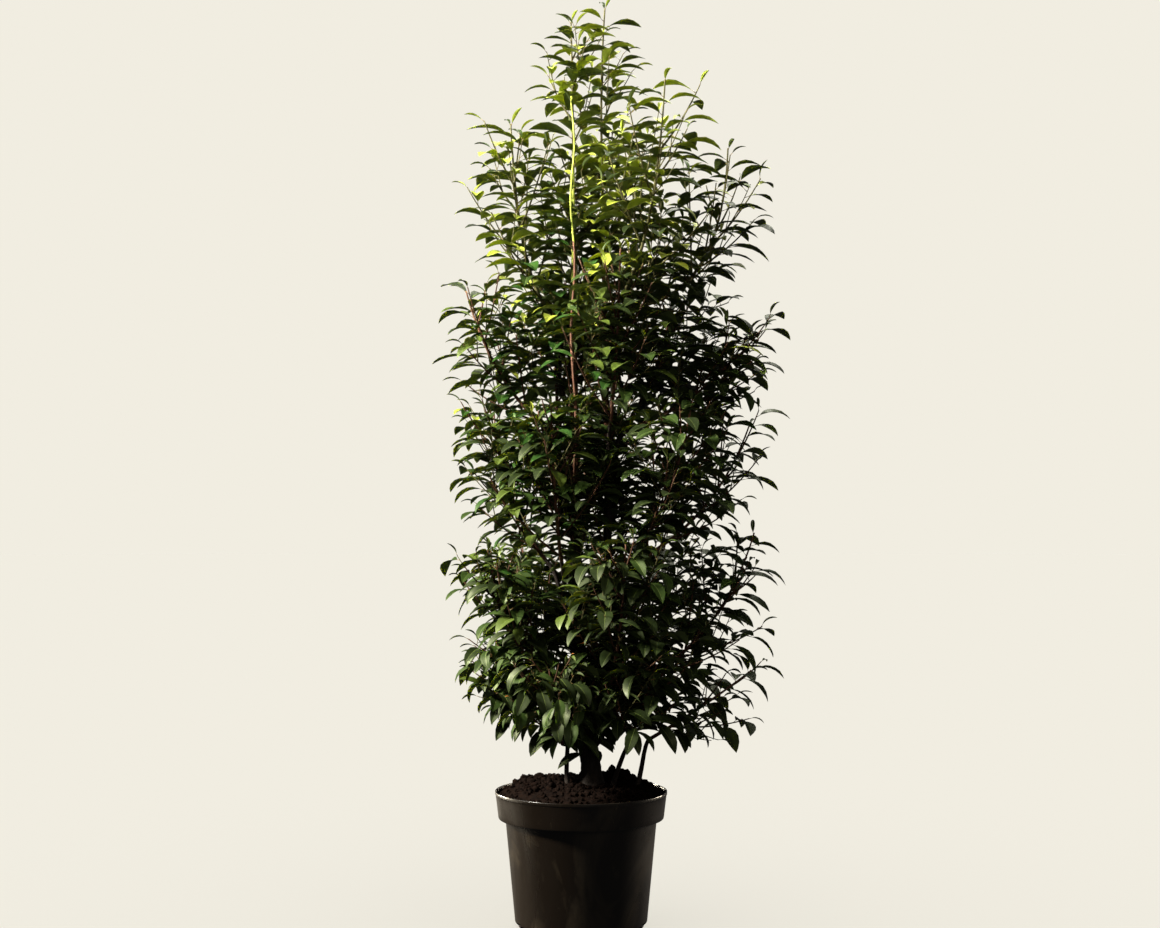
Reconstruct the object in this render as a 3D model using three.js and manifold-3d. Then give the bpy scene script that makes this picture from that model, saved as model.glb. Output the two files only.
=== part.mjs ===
// A Portuguese laurel: an evergreen shrub on several upright stems, standing in a round plastic nursery pot.
// Millimetres, +Z up, front towards -Y. The origin is the centre of the pot's flat underside.
import * as THREE from "three";
import { mergeVertices } from "three/addons/utils/BufferGeometryUtils.js";
import Module from "manifold-3d";

const wasm = await Module();
wasm.setup();

const { Vector3 } = THREE;
const UP = new Vector3(0, 0, 1);
const GAP = 0.3;
const TURN = 2 * Math.PI;
const SEED = 1937;

// The pot: a tapered body under a taller, wider rim band, on a foot that steps in
const POT = {
  height: 233,
  rimRadius: 150,
  rimFootRadius: 144,
  rimBand: 47,
  bodyTopRadius: 132,
  bodyFootRadius: 115,
  footRadius: 109,
  footHeight: 8,
  hollowHeight: 4,
  hollowInner: 38,
  hollowOuter: 94,
  wall: 2.5,
  segments: 32,
  drainSlots: 8,
  drainWidth: 15,
  drainDepth: 18,
};

// The potting mix fills the pot and stands a little above its rim
const SOIL = { level: 242, plateauRadius: 106, edgeLevel: 224, clods: 7, clodRadius: 9 };
const MOUND = { x: 62, y: 58, radius: 27, height: 19 };

// Two leaders run up through the crown; heights are above the ground, which is the soil's level
const LEADERS = {
  trunk: {
    path: [[19, 0, -14], [18, 0, 30], [4, 2, 110], [-7, 4, 330], [-12, 0, 700], [-14, 0, 1092]],
    footRadius: 17,
    tipRadius: 3.2,
    flare: 13,
    flareHeight: 26,
    sides: 8,
    steps: 10,
  },
  second_leader: {
    path: [[13, -2, 60], [38, -14, 160], [46, -20, 400], [42, -14, 760], [36, -4, 1128]],
    footRadius: 11,
    tipRadius: 3,
    flare: 0,
    flareHeight: 1,
    sides: 6,
    steps: 9,
  },
};

// The crown stands a little to the right of the pot. Each tier of masses has its own rise and spread:
// fork and foot are the heights where a bough leaves its leader and where its mass begins, inset is how far
// out of the leader that is, bottom is the lowest that leaves hang, spread is how far they stand from the
// mass's stem, droop is how far they hang, and lift is how much of a stem's rise comes in its outer half
const CROWN_X = 46;
const TIERS = {
  low: { fork: 34, foot: 80, inset: 74, bottom: 42, spread: 155, droop: 0.42, lift: 0.54, boughRadius: 5 },
  waist: { fork: 60, foot: 176, inset: 56, bottom: 120, spread: 165, droop: 0.3, lift: 0.72, boughRadius: 6 },
  middle: { fork: 180, foot: 392, inset: 54, bottom: 330, spread: 170, droop: 0.2, lift: 0.7, boughRadius: 5.5 },
  shoulder: { fork: 400, foot: 626, inset: 52, bottom: 540, spread: 165, droop: 0.12, lift: 0.68, boughRadius: 5 },
  high: { fork: 620, foot: 836, inset: 48, bottom: 770, spread: 155, droop: 0.05, lift: 0.8, boughRadius: 4.2 },
};
const FORK_STAGGER = 17;
const SHORTEST_EDGE = 0.03;
const BOUGH = { tipRadius: 3.4, sides: 5, steps: 3 };

// Azimuth 0 points right and 90 to the back. Reach is from the crown's axis to the mass's furthest leaf
// tips, and top is the height of its highest ones. A bough that starts in the soil has its own root place
const MASSES = [
  { tier: "low", side: "right", azimuth: 0, reach: 285, top: 236, root: [93, -4] },
  { tier: "low", side: "front_right", azimuth: -62, reach: 240, top: 250, root: [51, -22] },
  { tier: "low", side: "front_left", azimuth: -124, reach: 245, top: 256, on: "trunk" },
  { tier: "low", side: "left", azimuth: 176, reach: 254, top: 236, root: [-19, -8] },
  { tier: "low", side: "back", azimuth: 88, reach: 245, top: 256, on: "trunk" },
  { tier: "waist", side: "right", azimuth: -6, reach: 328, top: 470, on: "second_leader" },
  { tier: "waist", side: "front", azimuth: -82, reach: 268, top: 452, on: "second_leader" },
  { tier: "waist", side: "front_left", azimuth: -156, reach: 296, top: 440, on: "trunk" },
  { tier: "waist", side: "back_left", azimuth: 138, reach: 280, top: 456, on: "trunk" },
  { tier: "waist", side: "back_right", azimuth: 56, reach: 276, top: 470, on: "trunk" },
  { tier: "middle", side: "right", azimuth: 8, reach: 316, top: 690, on: "second_leader" },
  { tier: "middle", side: "front_right", azimuth: -50, reach: 288, top: 694, on: "second_leader" },
  { tier: "middle", side: "front_left", azimuth: -118, reach: 276, top: 684, on: "trunk" },
  { tier: "middle", side: "left", azimuth: 174, reach: 284, top: 706, on: "trunk" },
  { tier: "middle", side: "back", azimuth: 92, reach: 276, top: 712, on: "trunk" },
  { tier: "shoulder", side: "right", azimuth: -4, reach: 322, top: 846, on: "second_leader" },
  { tier: "shoulder", side: "front", azimuth: -84, reach: 254, top: 944, on: "second_leader" },
  { tier: "shoulder", side: "left", azimuth: -176, reach: 322, top: 930, on: "trunk" },
  { tier: "shoulder", side: "back_left", azimuth: 124, reach: 244, top: 950, on: "trunk" },
  { tier: "shoulder", side: "back_right", azimuth: 54, reach: 262, top: 962, on: "second_leader" },
  { tier: "high", side: "right", azimuth: 2, reach: 312, top: 1150, on: "second_leader" },
  { tier: "high", side: "front", azimuth: -64, reach: 214, top: 1210, on: "second_leader" },
  { tier: "high", side: "left", azimuth: -178, reach: 276, top: 1190, on: "trunk" },
  { tier: "high", side: "back", azimuth: 84, reach: 200, top: 1190, on: "trunk" },
];
// The masses that carry on from the leaders' own tips
const TOPS = [
  { leader: "trunk", top: 1378, lean: [-4, 0], spread: 92 },
  { leader: "second_leader", top: 1402, lean: [6, 6], spread: 92 },
];

// A mass is one stem with side twigs, and leaves set round both by the golden angle
const STEM = { baseRadius: 3.4, tipRadius: 1.8, sides: 4, steps: 4, leavesFrom: 0.14, leaves: 8 };
const LEAVES_PER_MASS = 21;
const TWIG = {
  count: 5,
  from: 0.04,
  to: 0.8,
  open: 0.95,
  rise: 0.3,
  baseRadius: 1.7,
  tipRadius: 1.2,
  sides: 3,
  steps: 1,
  longest: 125,
  jitter: 0.5,
  tries: 18,
  mostFaces: 26,
  leavesFrom: 0.4,
  leaves: 3,
};
// Leaves are larger than life, as there are about a fifth as many as on the living shrub
const LEAF = {
  length: 138,
  width: 54,
  thickness: 2.8,
  widest: 0.46,
  fold: 6,
  crest: 0.07,
  sag: 0.24,
  roll: 0.7,
  sink: 0.3,
  forward: [0.35, 1.2],
  outward: 0.5,
  rise: 0.26,
  jitter: 0.5,
  clearance: 0.5,
  tries: 9,
  rounds: 5,
  fewFaces: 18,
  mostFaces: 22,
};
const TOP_LEAF_SCALE = 0.84;

const COLOURS = { pot: 0x2b2822, soil: 0x3a2519, bark: 0x4a3a2c, shade: 0x1f3312, green: 0x35551a, young: 0x6f9427 };

// A repeatable run of numbers from 0 to 1
function seeded(seed) {
  let state = (seed % 2147483646) + 1;
  return () => {
    state = (state * 16807) % 2147483647;
    return state / 2147483647;
  };
}

function mix(a, b, share) {
  return a + (b - a) * share;
}

// Turns a closed three.js geometry into a solid that can be cut and joined
function solidOf(geometry) {
  const bare = new THREE.BufferGeometry().setAttribute("position", geometry.getAttribute("position"));
  const merged = mergeVertices(geometry.index ? bare.setIndex(geometry.index) : bare, 1e-4);
  const corners = [];
  for (let i = 0; i < merged.index.count; i += 3) {
    const [a, b, c] = merged.index.array.slice(i, i + 3);
    if (a !== b && b !== c && a !== c) corners.push(a, b, c);
  }
  const vertProperties = merged.attributes.position.array;
  const mesh = new wasm.Mesh({ numProp: 3, vertProperties, triVerts: new Uint32Array(corners) });
  mesh.merge();
  return new wasm.Manifold(mesh);
}

function geometryOf(solid) {
  const mesh = solid.getMesh();
  const geometry = new THREE.BufferGeometry();
  geometry.setAttribute("position", new THREE.BufferAttribute(mesh.vertProperties, 3));
  geometry.setIndex(new THREE.BufferAttribute(mesh.triVerts, 1));
  geometry.computeVertexNormals();
  return geometry;
}

// The largest body of a solid, with any sealed hollow filled and any loose scrap dropped
function mainBody(solid) {
  const bodies = solid.decompose();
  return bodies.reduce((best, body) => (body.volume() > best.volume() ? body : best));
}

// A closed solid made by turning a profile of [radius, height] pairs round the Z axis
function turned(profile, segments) {
  const points = profile.map(([radius, height]) => new THREE.Vector2(radius, height));
  return solidOf(new THREE.LatheGeometry(points, segments).rotateX(Math.PI / 2));
}

// A tube along a curve whose radius changes along its length, closed by a flat face at each end
function limb(curve, radiusAt, sides, steps, grow = 0) {
  const frames = curve.computeFrenetFrames(steps, false);
  const positions = [];
  const faces = [];
  for (let step = 0; step <= steps; step++) {
    const centre = curve.getPointAt(step / steps);
    const radius = radiusAt(step / steps) + grow;
    for (let side = 0; side < sides; side++) {
      const angle = (TURN * side) / sides;
      const corner = centre.clone();
      corner.addScaledVector(frames.normals[step], radius * Math.cos(angle));
      corner.addScaledVector(frames.binormals[step], radius * Math.sin(angle));
      positions.push(corner.x, corner.y, corner.z);
    }
  }
  for (let step = 0; step < steps; step++) {
    for (let side = 0; side < sides; side++) {
      const low = step * sides + side;
      const next = step * sides + ((side + 1) % sides);
      faces.push(low, next, next + sides, low, next + sides, low + sides);
    }
  }
  const last = steps * sides;
  for (let side = 1; side < sides - 1; side++) {
    faces.push(0, side + 1, side, last, last + side, last + side + 1);
  }
  const geometry = new THREE.BufferGeometry();
  geometry.setAttribute("position", new THREE.Float32BufferAttribute(positions, 3));
  return solidOf(geometry.setIndex(faces));
}

function potSolid() {
  const p = POT;
  const rimFoot = p.height - p.rimBand;
  const floorTop = p.footHeight + p.wall;
  const outside = [
    [0, 0],
    [p.hollowInner, 0],
    [p.hollowInner + p.hollowHeight, p.hollowHeight],
    [p.hollowOuter, p.hollowHeight],
    [p.hollowOuter + p.hollowHeight, 0],
    [p.footRadius, 0],
    [p.footRadius + 1, p.footHeight],
    [p.bodyFootRadius, p.footHeight],
    [p.bodyTopRadius, rimFoot],
    [p.rimFootRadius, rimFoot],
    [p.rimRadius, p.height - p.wall],
    [p.rimRadius - 1, p.height],
  ];
  const inside = [
    [p.rimRadius - p.wall, p.height],
    [p.rimFootRadius - p.wall, rimFoot + p.wall],
    [p.bodyTopRadius - p.wall, rimFoot + p.wall],
    [p.bodyFootRadius - p.wall, floorTop],
    [0, floorTop],
  ];
  let pot = turned([...outside, ...inside], p.segments);
  for (let slot = 0; slot < p.drainSlots; slot++) {
    const box = new THREE.BoxGeometry(p.drainDepth, p.drainWidth, p.footHeight * 3);
    box.translate(p.footRadius, 0, 0).rotateZ((TURN * (slot + 0.5)) / p.drainSlots);
    pot = pot.subtract(solidOf(box));
  }
  return pot;
}

// The potting mix keeps GAP clear of the pot all round, and has rough clods round a flat middle
function soilSolid() {
  const p = POT;
  const ledge = p.height - p.rimBand + p.wall + GAP;
  const rimSlope = (p.rimRadius - p.rimFootRadius) / p.rimBand;
  const edgeRadius = p.rimFootRadius - p.wall - GAP + rimSlope * (SOIL.edgeLevel - ledge);
  const profile = [
    [0, p.footHeight + p.wall + GAP],
    [p.bodyFootRadius - p.wall - GAP, p.footHeight + p.wall + GAP],
    [p.bodyTopRadius - p.wall - GAP, ledge],
    [p.rimFootRadius - p.wall - GAP, ledge],
    [edgeRadius, SOIL.edgeLevel],
    [mix(edgeRadius, SOIL.plateauRadius, 0.45), mix(SOIL.edgeLevel, SOIL.level, 0.62)],
    [SOIL.plateauRadius, SOIL.level],
    [0, SOIL.level],
  ];
  const random = seeded(SEED);
  const lumps = [];
  const mound = new THREE.IcosahedronGeometry(1, 1).scale(MOUND.radius, MOUND.radius, MOUND.height);
  lumps.push(solidOf(mound.translate(MOUND.x, MOUND.y, SOIL.level)));
  for (let i = 0; i < SOIL.clods; i++) {
    const clod = new THREE.IcosahedronGeometry(SOIL.clodRadius * mix(0.7, 1.25, random()), 0);
    const angle = mix(0.28, 1.05, i / SOIL.clods) * TURN;
    const radius = SOIL.plateauRadius * mix(0.72, 0.98, random());
    const [x, y] = [radius * Math.cos(angle), radius * Math.sin(angle)];
    clod.rotateX(random() * TURN).scale(1.25, 1, 0.7);
    clod.rotateZ(random() * TURN).translate(x, y, SOIL.level);
    const nearStem = MASSES.some(({ root }) => root && Math.hypot(root[0] - x, root[1] - y) < SOIL.clodRadius * 2.6);
    if (!nearStem) lumps.push(solidOf(clod));
  }
  return mainBody(wasm.Manifold.union([turned(profile, p.segments), ...lumps]));
}

// The point on a limb's axis, which runs straight from each step to the next
function axisPoint(curve, steps, share) {
  const step = Math.min(Math.floor(share * steps), steps - 1);
  const from = curve.getPointAt(step / steps);
  return from.lerp(curve.getPointAt((step + 1) / steps), share * steps - step);
}

function leaderRadius(leader, length) {
  return (share) => {
    const flare = leader.flare * Math.exp((-share * length) / leader.flareHeight);
    return mix(leader.footRadius, leader.tipRadius, Math.pow(share, 0.8)) + flare;
  };
}

function leaderSolid(leader, grow = 0) {
  const radiusAt = leaderRadius(leader, leader.curve.getLength());
  return limb(leader.curve, radiusAt, leader.sides, leader.steps, grow).trimByPlane([0, 0, 1], GAP);
}

// The path of a mass's stem: it leaves outwards and turns upwards, and stops short of the leaf tips
function stemCurve(foot, tip, lift) {
  const across = new Vector3(tip.x - foot.x, tip.y - foot.y, 0);
  const bend = foot.clone().addScaledVector(across, lift);
  bend.z = mix(foot.z, tip.z, 1 - lift);
  return new THREE.QuadraticBezierCurve3(foot, bend, tip);
}

// The path of a bough from its fork, or from the soil, to the foot of its mass. One that rises from the soil
// turns outwards late, so that it doesn't hook back on itself
function boughCurve(start, startAim, foot, footAim, rooted) {
  const length = start.distanceTo(foot);
  const leave = start.clone().addScaledVector(startAim, length * 0.4);
  const arrive = foot.clone().addScaledVector(footAim, -length * (rooted ? 0.14 : 0.4));
  return new THREE.CubicBezierCurve3(start, leave, arrive, foot);
}

// Where on a leader's curve a height is reached
function pointAtHeight(curve, height) {
  let low = 0;
  let high = 1;
  for (let i = 0; i < 30; i++) {
    const middle = (low + high) / 2;
    if (curve.getPointAt(middle).z < height) low = middle;
    else high = middle;
  }
  return curve.getPointAt(low);
}

// Works out a tier mass's place: its bough, its stem and the space that its leaves keep to
function layOut(entry, index) {
  const tier = TIERS[entry.tier];
  const angle = THREE.MathUtils.degToRad(entry.azimuth);
  const outward = new Vector3(Math.cos(angle), Math.sin(angle), 0);
  const axis = new Vector3(CROWN_X, 0, 0);
  const inner = entry.on ? pointAtHeight(LEADERS[entry.on].curve, tier.foot) : axis.clone();
  const foot = inner.addScaledVector(outward, tier.inset).setZ(tier.foot);
  const tip = axis.clone().addScaledVector(outward, entry.reach - LEAF.length * 0.52);
  tip.z = entry.top - LEAF.length * mix(0.56, 0.3, tier.droop);
  const stem = stemCurve(foot, tip, tier.lift);
  const footAim = stem.getTangentAt(0);
  const start = entry.root
    ? new Vector3(entry.root[0], entry.root[1], -14)
    : pointAtHeight(LEADERS[entry.on].curve, tier.fork + (index % 5) * FORK_STAGGER);
  const startAim = UP.clone().multiplyScalar(0.6).addScaledVector(outward, entry.root ? 0.25 : 0.8);
  const bough = boughCurve(start, startAim.normalize(), foot, footAim, Boolean(entry.root));
  return {
    name: `${entry.tier}_${entry.side}`,
    bough,
    boughRadius: tier.boughRadius,
    leader: entry.on,
    stem,
    outward,
    droop: tier.droop,
    leafScale: 1,
    space: { reach: entry.reach, top: entry.top, bottom: tier.bottom, spread: tier.spread },
  };
}

// Works out a top mass's place: it carries straight on from its leader's tip
function layOutTop(entry) {
  const { curve } = LEADERS[entry.leader];
  const foot = curve.getPointAt(1);
  const aim = curve.getTangentAt(1);
  const tip = new Vector3(foot.x + entry.lean[0], foot.y + entry.lean[1], entry.top - LEAF.length * TOP_LEAF_SCALE * 0.5);
  const bend = foot.clone().addScaledVector(aim, foot.distanceTo(tip) / 2);
  return {
    name: `top_of_${entry.leader}`,
    stem: new THREE.QuadraticBezierCurve3(foot, bend, tip),
    outward: new Vector3(),
    droop: 0,
    leafScale: TOP_LEAF_SCALE,
    space: { reach: entry.spread * 2, top: entry.top, bottom: foot.z - 40, spread: entry.spread },
  };
}

function boughSolid(mass) {
  const radiusAt = (share) => mix(mass.boughRadius, BOUGH.tipRadius, share);
  const whole = limb(mass.bough, radiusAt, BOUGH.sides, BOUGH.steps);
  return mass.leader ? whole : whole.trimByPlane([0, 0, 1], GAP);
}

// True where a point lies in the space that a mass keeps to
function inSpace(mass, point) {
  const { reach, top, bottom, spread } = mass.space;
  if (point.z > top || point.z < bottom) return false;
  if (Math.hypot(point.x - CROWN_X, point.y) > reach) return false;
  return mass.stemPoints.some((near) => near.distanceTo(point) < spread);
}

// True if a piece joins what it grows from through the middle of one face, and leaves no sliver there
function joinsCleanly(piece, parent, mostFaces) {
  const joined = parent.add(piece);
  if (joined.numTri() - parent.numTri() > mostFaces) return false;
  const { vertProperties: at, triVerts, numProp } = joined.getMesh();
  const corner = (i) => new Vector3().fromArray(at, triVerts[i] * numProp);
  return triVerts.every((_, i) => {
    const next = i % 3 === 2 ? i - 2 : i + 1;
    return corner(i).distanceTo(corner(next)) > SHORTEST_EDGE;
  });
}

// Keeps every placed piece, so that a new one can be tried against those that it must not touch
const placed = [];

function boxesMeet(a, b, clearance) {
  return [0, 1, 2].every((i) => a.min[i] - clearance < b.max[i] && b.min[i] - clearance < a.max[i]);
}

function place(solid, owner, kind) {
  placed.push({ solid, owner, kind, box: solid.boundingBox() });
}

// A piece of a mass is free if it is clear of all else but the twigs or stem that it grows from
function isFree(solid, owner, growsFrom) {
  const box = solid.boundingBox();
  return !placed.some((other) => {
    if (other.owner === owner && growsFrom.includes(other.kind)) return false;
    if (!boxesMeet(box, other.box, LEAF.clearance)) return false;
    return solid.minGap(other.solid, LEAF.clearance * 2) < LEAF.clearance;
  });
}

// A direction square to a shoot, out of the middle of one of its faces
function outOfFace(shoot, share, face, jitter) {
  const { curve, form } = shoot;
  const frames = curve.computeFrenetFrames(form.steps, false);
  const step = Math.round(share * form.steps);
  const angle = ((face + 0.5) * TURN) / form.sides + jitter;
  const side = frames.normals[step].clone().multiplyScalar(Math.cos(angle));
  return side.addScaledVector(frames.binormals[step], Math.sin(angle));
}

// A leaf of eight faces: folded along its midrib, widest before the middle, and arching to its tip
function leafSolid(base, sink, aim, roll, scale, droop) {
  const length = LEAF.length * scale;
  const half = (LEAF.width * scale) / 2;
  const across = new Vector3().crossVectors(UP, aim).normalize().applyAxisAngle(aim, roll);
  const above = new Vector3().crossVectors(aim, across).normalize();
  const corner = (along, side, lift) => {
    const point = base.clone().addScaledVector(aim, along);
    return point.addScaledVector(across, side).addScaledVector(above, lift);
  };
  const middle = length * LEAF.widest;
  const crest = length * LEAF.crest;
  const sag = length * (LEAF.sag + droop * 0.25);
  const points = [
    corner(-sink, 0, 0),
    corner(middle, -half, crest),
    corner(length, 0, -sag),
    corner(middle, half, crest),
    corner(middle, 0, crest - LEAF.fold),
    corner(middle, 0, crest - LEAF.fold - LEAF.thickness),
  ];
  const geometry = new THREE.BufferGeometry().setFromPoints(points);
  geometry.setIndex([0, 1, 4, 1, 2, 4, 2, 3, 4, 3, 0, 4, 1, 0, 5, 2, 1, 5, 3, 2, 5, 0, 3, 5]);
  return { solid: solidOf(geometry), ends: [points[1], points[2], points[3]] };
}

// Tries a few leaves at one place on a stem or twig, and keeps the first that is free
function growLeaf(mass, shoot, share, face, random) {
  const { curve, form, kind } = shoot;
  const tangent = curve.getTangentAt(share);
  const base = axisPoint(curve, form.steps, share);
  const sink = LEAF.sink * mix(form.baseRadius, form.tipRadius, share);
  for (let attempt = 0; attempt < LEAF.tries; attempt++) {
    const jitter = (random() - 0.5) * LEAF.jitter;
    const forward = mix(...LEAF.forward, share * share) * mix(0.8, 1.4, random());
    const aim = outOfFace(shoot, share, face + attempt, jitter).addScaledVector(tangent, forward);
    aim.addScaledVector(mass.outward, LEAF.outward * share * share);
    aim.z += LEAF.rise - mass.droop;
    aim.normalize();
    const scale = mass.leafScale * mix(1.08, 0.8, (attempt + random()) / LEAF.tries);
    if (Math.abs(aim.z) > 0.93) continue;
    const roll = (random() - 0.5) * LEAF.roll;
    const leaf = leafSolid(base, sink, aim, roll, scale, mass.droop);
    if (!leaf.ends.every((end) => inSpace(mass, end))) continue;
    if (!isFree(leaf.solid, mass.name, [kind])) continue;
    const mostFaces = attempt < LEAF.tries / 2 ? LEAF.fewFaces : LEAF.mostFaces;
    if (!joinsCleanly(leaf.solid, shoot.solid, mostFaces)) continue;
    place(leaf.solid, mass.name, "leaf");
    mass.pieces.push(leaf.solid);
    return true;
  }
  return false;
}

// A side twig leaves its stem at an angle, and is shortened until its end and room for a leaf fit
function growTwig(mass, index, random) {
  const share = mix(TWIG.from, TWIG.to, (index + random() * 0.6) / TWIG.count);
  const base = axisPoint(mass.shoot.curve, STEM.steps, share);
  const tangent = mass.shoot.curve.getTangentAt(share);
  const wanted = TWIG.longest * (1 - 0.35 * share) * mix(0.85, 1.1, random());
  for (let attempt = 0; attempt < TWIG.tries; attempt++) {
    const length = wanted * mix(1, 0.35, Math.floor(attempt / 3) / Math.floor(TWIG.tries / 3));
    const side = outOfFace(mass.shoot, share, index * 2 + attempt, (random() - 0.5) * TWIG.jitter);
    const aim = tangent.clone().multiplyScalar(Math.cos(TWIG.open)).addScaledVector(side, Math.sin(TWIG.open));
    aim.z += TWIG.rise * (1 - mass.droop);
    aim.normalize();
    const end = base.clone().addScaledVector(aim, length);
    const ahead = end.clone().addScaledVector(aim, LEAF.length * 0.5);
    if (!inSpace(mass, ahead)) continue;
    const curve = new THREE.LineCurve3(base, end);
    const radiusAt = (s) => mix(TWIG.baseRadius, TWIG.tipRadius, s);
    const solid = limb(curve, radiusAt, TWIG.sides, TWIG.steps);
    if (!isFree(solid, mass.name, ["stem"])) continue;
    if (!joinsCleanly(solid, mass.shoot.solid, TWIG.mostFaces)) continue;
    place(solid, mass.name, `twig_${index}`);
    mass.pieces.push(solid);
    mass.twigs.push({ curve, solid, form: TWIG, kind: `twig_${index}` });
    return;
  }
}

function growStem(mass) {
  const start = mass.stem.getPointAt(0).addScaledVector(mass.stem.getTangentAt(0), GAP);
  const curve = new THREE.QuadraticBezierCurve3(start, mass.stem.v1, mass.stem.v2);
  const radiusAt = (share) => mix(STEM.baseRadius, STEM.tipRadius, share);
  const solid = limb(curve, radiusAt, STEM.sides, STEM.steps);
  place(solid, mass.name, "stem");
  mass.shoot = { curve, solid, form: STEM, kind: "stem" };
  mass.stemPoints = curve.getPoints(12);
  mass.pieces = [solid];
  mass.twigs = [];
}

// The places for leaves on a mass, the stem's own first
function leafPlaces(mass) {
  return [mass.shoot, ...mass.twigs].flatMap((shoot, order) =>
    Array.from({ length: shoot.form.leaves }, (_, i) => {
      const share = mix(shoot.form.leavesFrom, 0.97, i / (shoot.form.leaves - 1));
      return { mass, shoot, share, face: i + order };
    }),
  );
}

// Goes over all places in turn, more than once, until each mass has its leaves or no room is left
function growLeaves(masses, random) {
  const places = masses.map(leafPlaces);
  const most = Math.max(...places.map((list) => list.length));
  masses.forEach((mass) => (mass.leaves = 0));
  for (let round = 0; round < LEAF.rounds; round++) {
    for (let i = 0; i < most; i++) {
      for (const { mass, shoot, share, face } of places.flatMap((list) => list.slice(i, i + 1))) {
        if (mass.leaves === LEAVES_PER_MASS) continue;
        if (growLeaf(mass, shoot, share * (1 - 0.08 * round), face + round, random)) mass.leaves++;
      }
    }
  }
}

for (const leader of Object.values(LEADERS)) {
  leader.curve = new THREE.CatmullRomCurve3(leader.path.map((point) => new Vector3(...point)));
}
for (const leader of Object.values(LEADERS)) leader.grown = leaderSolid(leader, GAP + 0.15);

const masses = [...MASSES.map(layOut), ...TOPS.map(layOutTop)];
const random = seeded(SEED);
const limbs = new Map();
limbs.set("trunk", leaderSolid(LEADERS.trunk));
limbs.set("second_leader", mainBody(leaderSolid(LEADERS.second_leader).subtract(LEADERS.trunk.grown)));
for (const mass of masses.filter(({ bough }) => bough)) {
  let bough = boughSolid(mass);
  for (const leader of Object.values(LEADERS)) bough = mainBody(bough.subtract(leader.grown));
  limbs.set(`bough_${mass.name}`, bough);
}
limbs.forEach((solid, name) => place(solid, name, "limb"));

masses.forEach(growStem);
for (let twig = 0; twig < TWIG.count; twig++) masses.forEach((mass) => growTwig(mass, twig, random));
growLeaves(masses, random);

// A named mesh for each piece of the shrub and its pot
function part(name, solid, colour, roughness) {
  const material = new THREE.MeshStandardMaterial({ color: colour, roughness, metalness: 0 });
  const mesh = new THREE.Mesh(geometryOf(solid), material);
  mesh.name = name;
  return mesh;
}

const laurel = new THREE.Group();
laurel.add(part("pot", potSolid(), COLOURS.pot, 0.55));
laurel.add(part("soil", soilSolid(), COLOURS.soil, 0.95));
const plant = new THREE.Group();
plant.position.z = SOIL.level;
limbs.forEach((solid, name) => plant.add(part(name, solid, COLOURS.bark, 0.85)));
for (const mass of masses) {
  const colour = mass.space.top > 1100 ? COLOURS.young : mass.space.top > 600 ? COLOURS.green : COLOURS.shade;
  plant.add(part(`leaves_${mass.name}`, mainBody(wasm.Manifold.union(mass.pieces)), colour, 0.4));
}
laurel.add(plant);

export default laurel;
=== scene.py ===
"""The looks of a Portuguese laurel in a nursery pot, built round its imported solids.

Shapes are worked out in millimetres in the part's own frame, and made in metres.
Heights of the plant are above the ground, which is the level of the potting mix.
"""

import math
from bisect import bisect_right
from types import SimpleNamespace as Record

import bmesh
import bpy
import numpy as np
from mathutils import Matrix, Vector


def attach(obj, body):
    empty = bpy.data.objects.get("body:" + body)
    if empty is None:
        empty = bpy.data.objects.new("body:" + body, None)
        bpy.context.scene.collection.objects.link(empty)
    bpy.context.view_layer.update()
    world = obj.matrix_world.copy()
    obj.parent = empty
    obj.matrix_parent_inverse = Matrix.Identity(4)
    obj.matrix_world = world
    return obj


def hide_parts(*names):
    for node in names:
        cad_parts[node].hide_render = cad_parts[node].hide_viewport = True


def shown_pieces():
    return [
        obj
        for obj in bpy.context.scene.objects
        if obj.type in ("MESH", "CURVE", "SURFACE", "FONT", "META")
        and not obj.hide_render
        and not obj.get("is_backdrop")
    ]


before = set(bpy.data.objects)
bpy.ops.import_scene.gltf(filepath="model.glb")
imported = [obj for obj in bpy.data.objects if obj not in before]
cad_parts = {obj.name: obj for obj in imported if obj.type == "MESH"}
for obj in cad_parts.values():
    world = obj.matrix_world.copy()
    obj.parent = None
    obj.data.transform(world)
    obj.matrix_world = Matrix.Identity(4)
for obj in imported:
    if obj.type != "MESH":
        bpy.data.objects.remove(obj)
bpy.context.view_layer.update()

MM = 0.001
TURN = 2 * math.pi
GOLDEN = TURN * 0.381966
UP = Vector((0, 0, 1))
SEED = 1937
GROUND = 242

# The limbs' paths and sizes, as in the part's source
LEADERS = {
    "trunk": Record(
        path=[(19, 0, -14), (18, 0, 30), (4, 2, 110), (-7, 4, 330), (-12, 0, 700), (-14, 0, 1092)],
        foot=17, tip=2.3, flare=13, flare_height=26, sides=44, rings=420,
    ),
    "second_leader": Record(
        path=[(13, -2, 60), (38, -14, 160), (46, -20, 400), (42, -14, 760), (36, -4, 1128)],
        foot=11, tip=2.2, flare=0, flare_height=1, sides=32, rings=380,
    ),
}
# The crown's middle line, its usual radius and its height
CROWN = Record(x=46, radius=300, height=1400)
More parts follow.
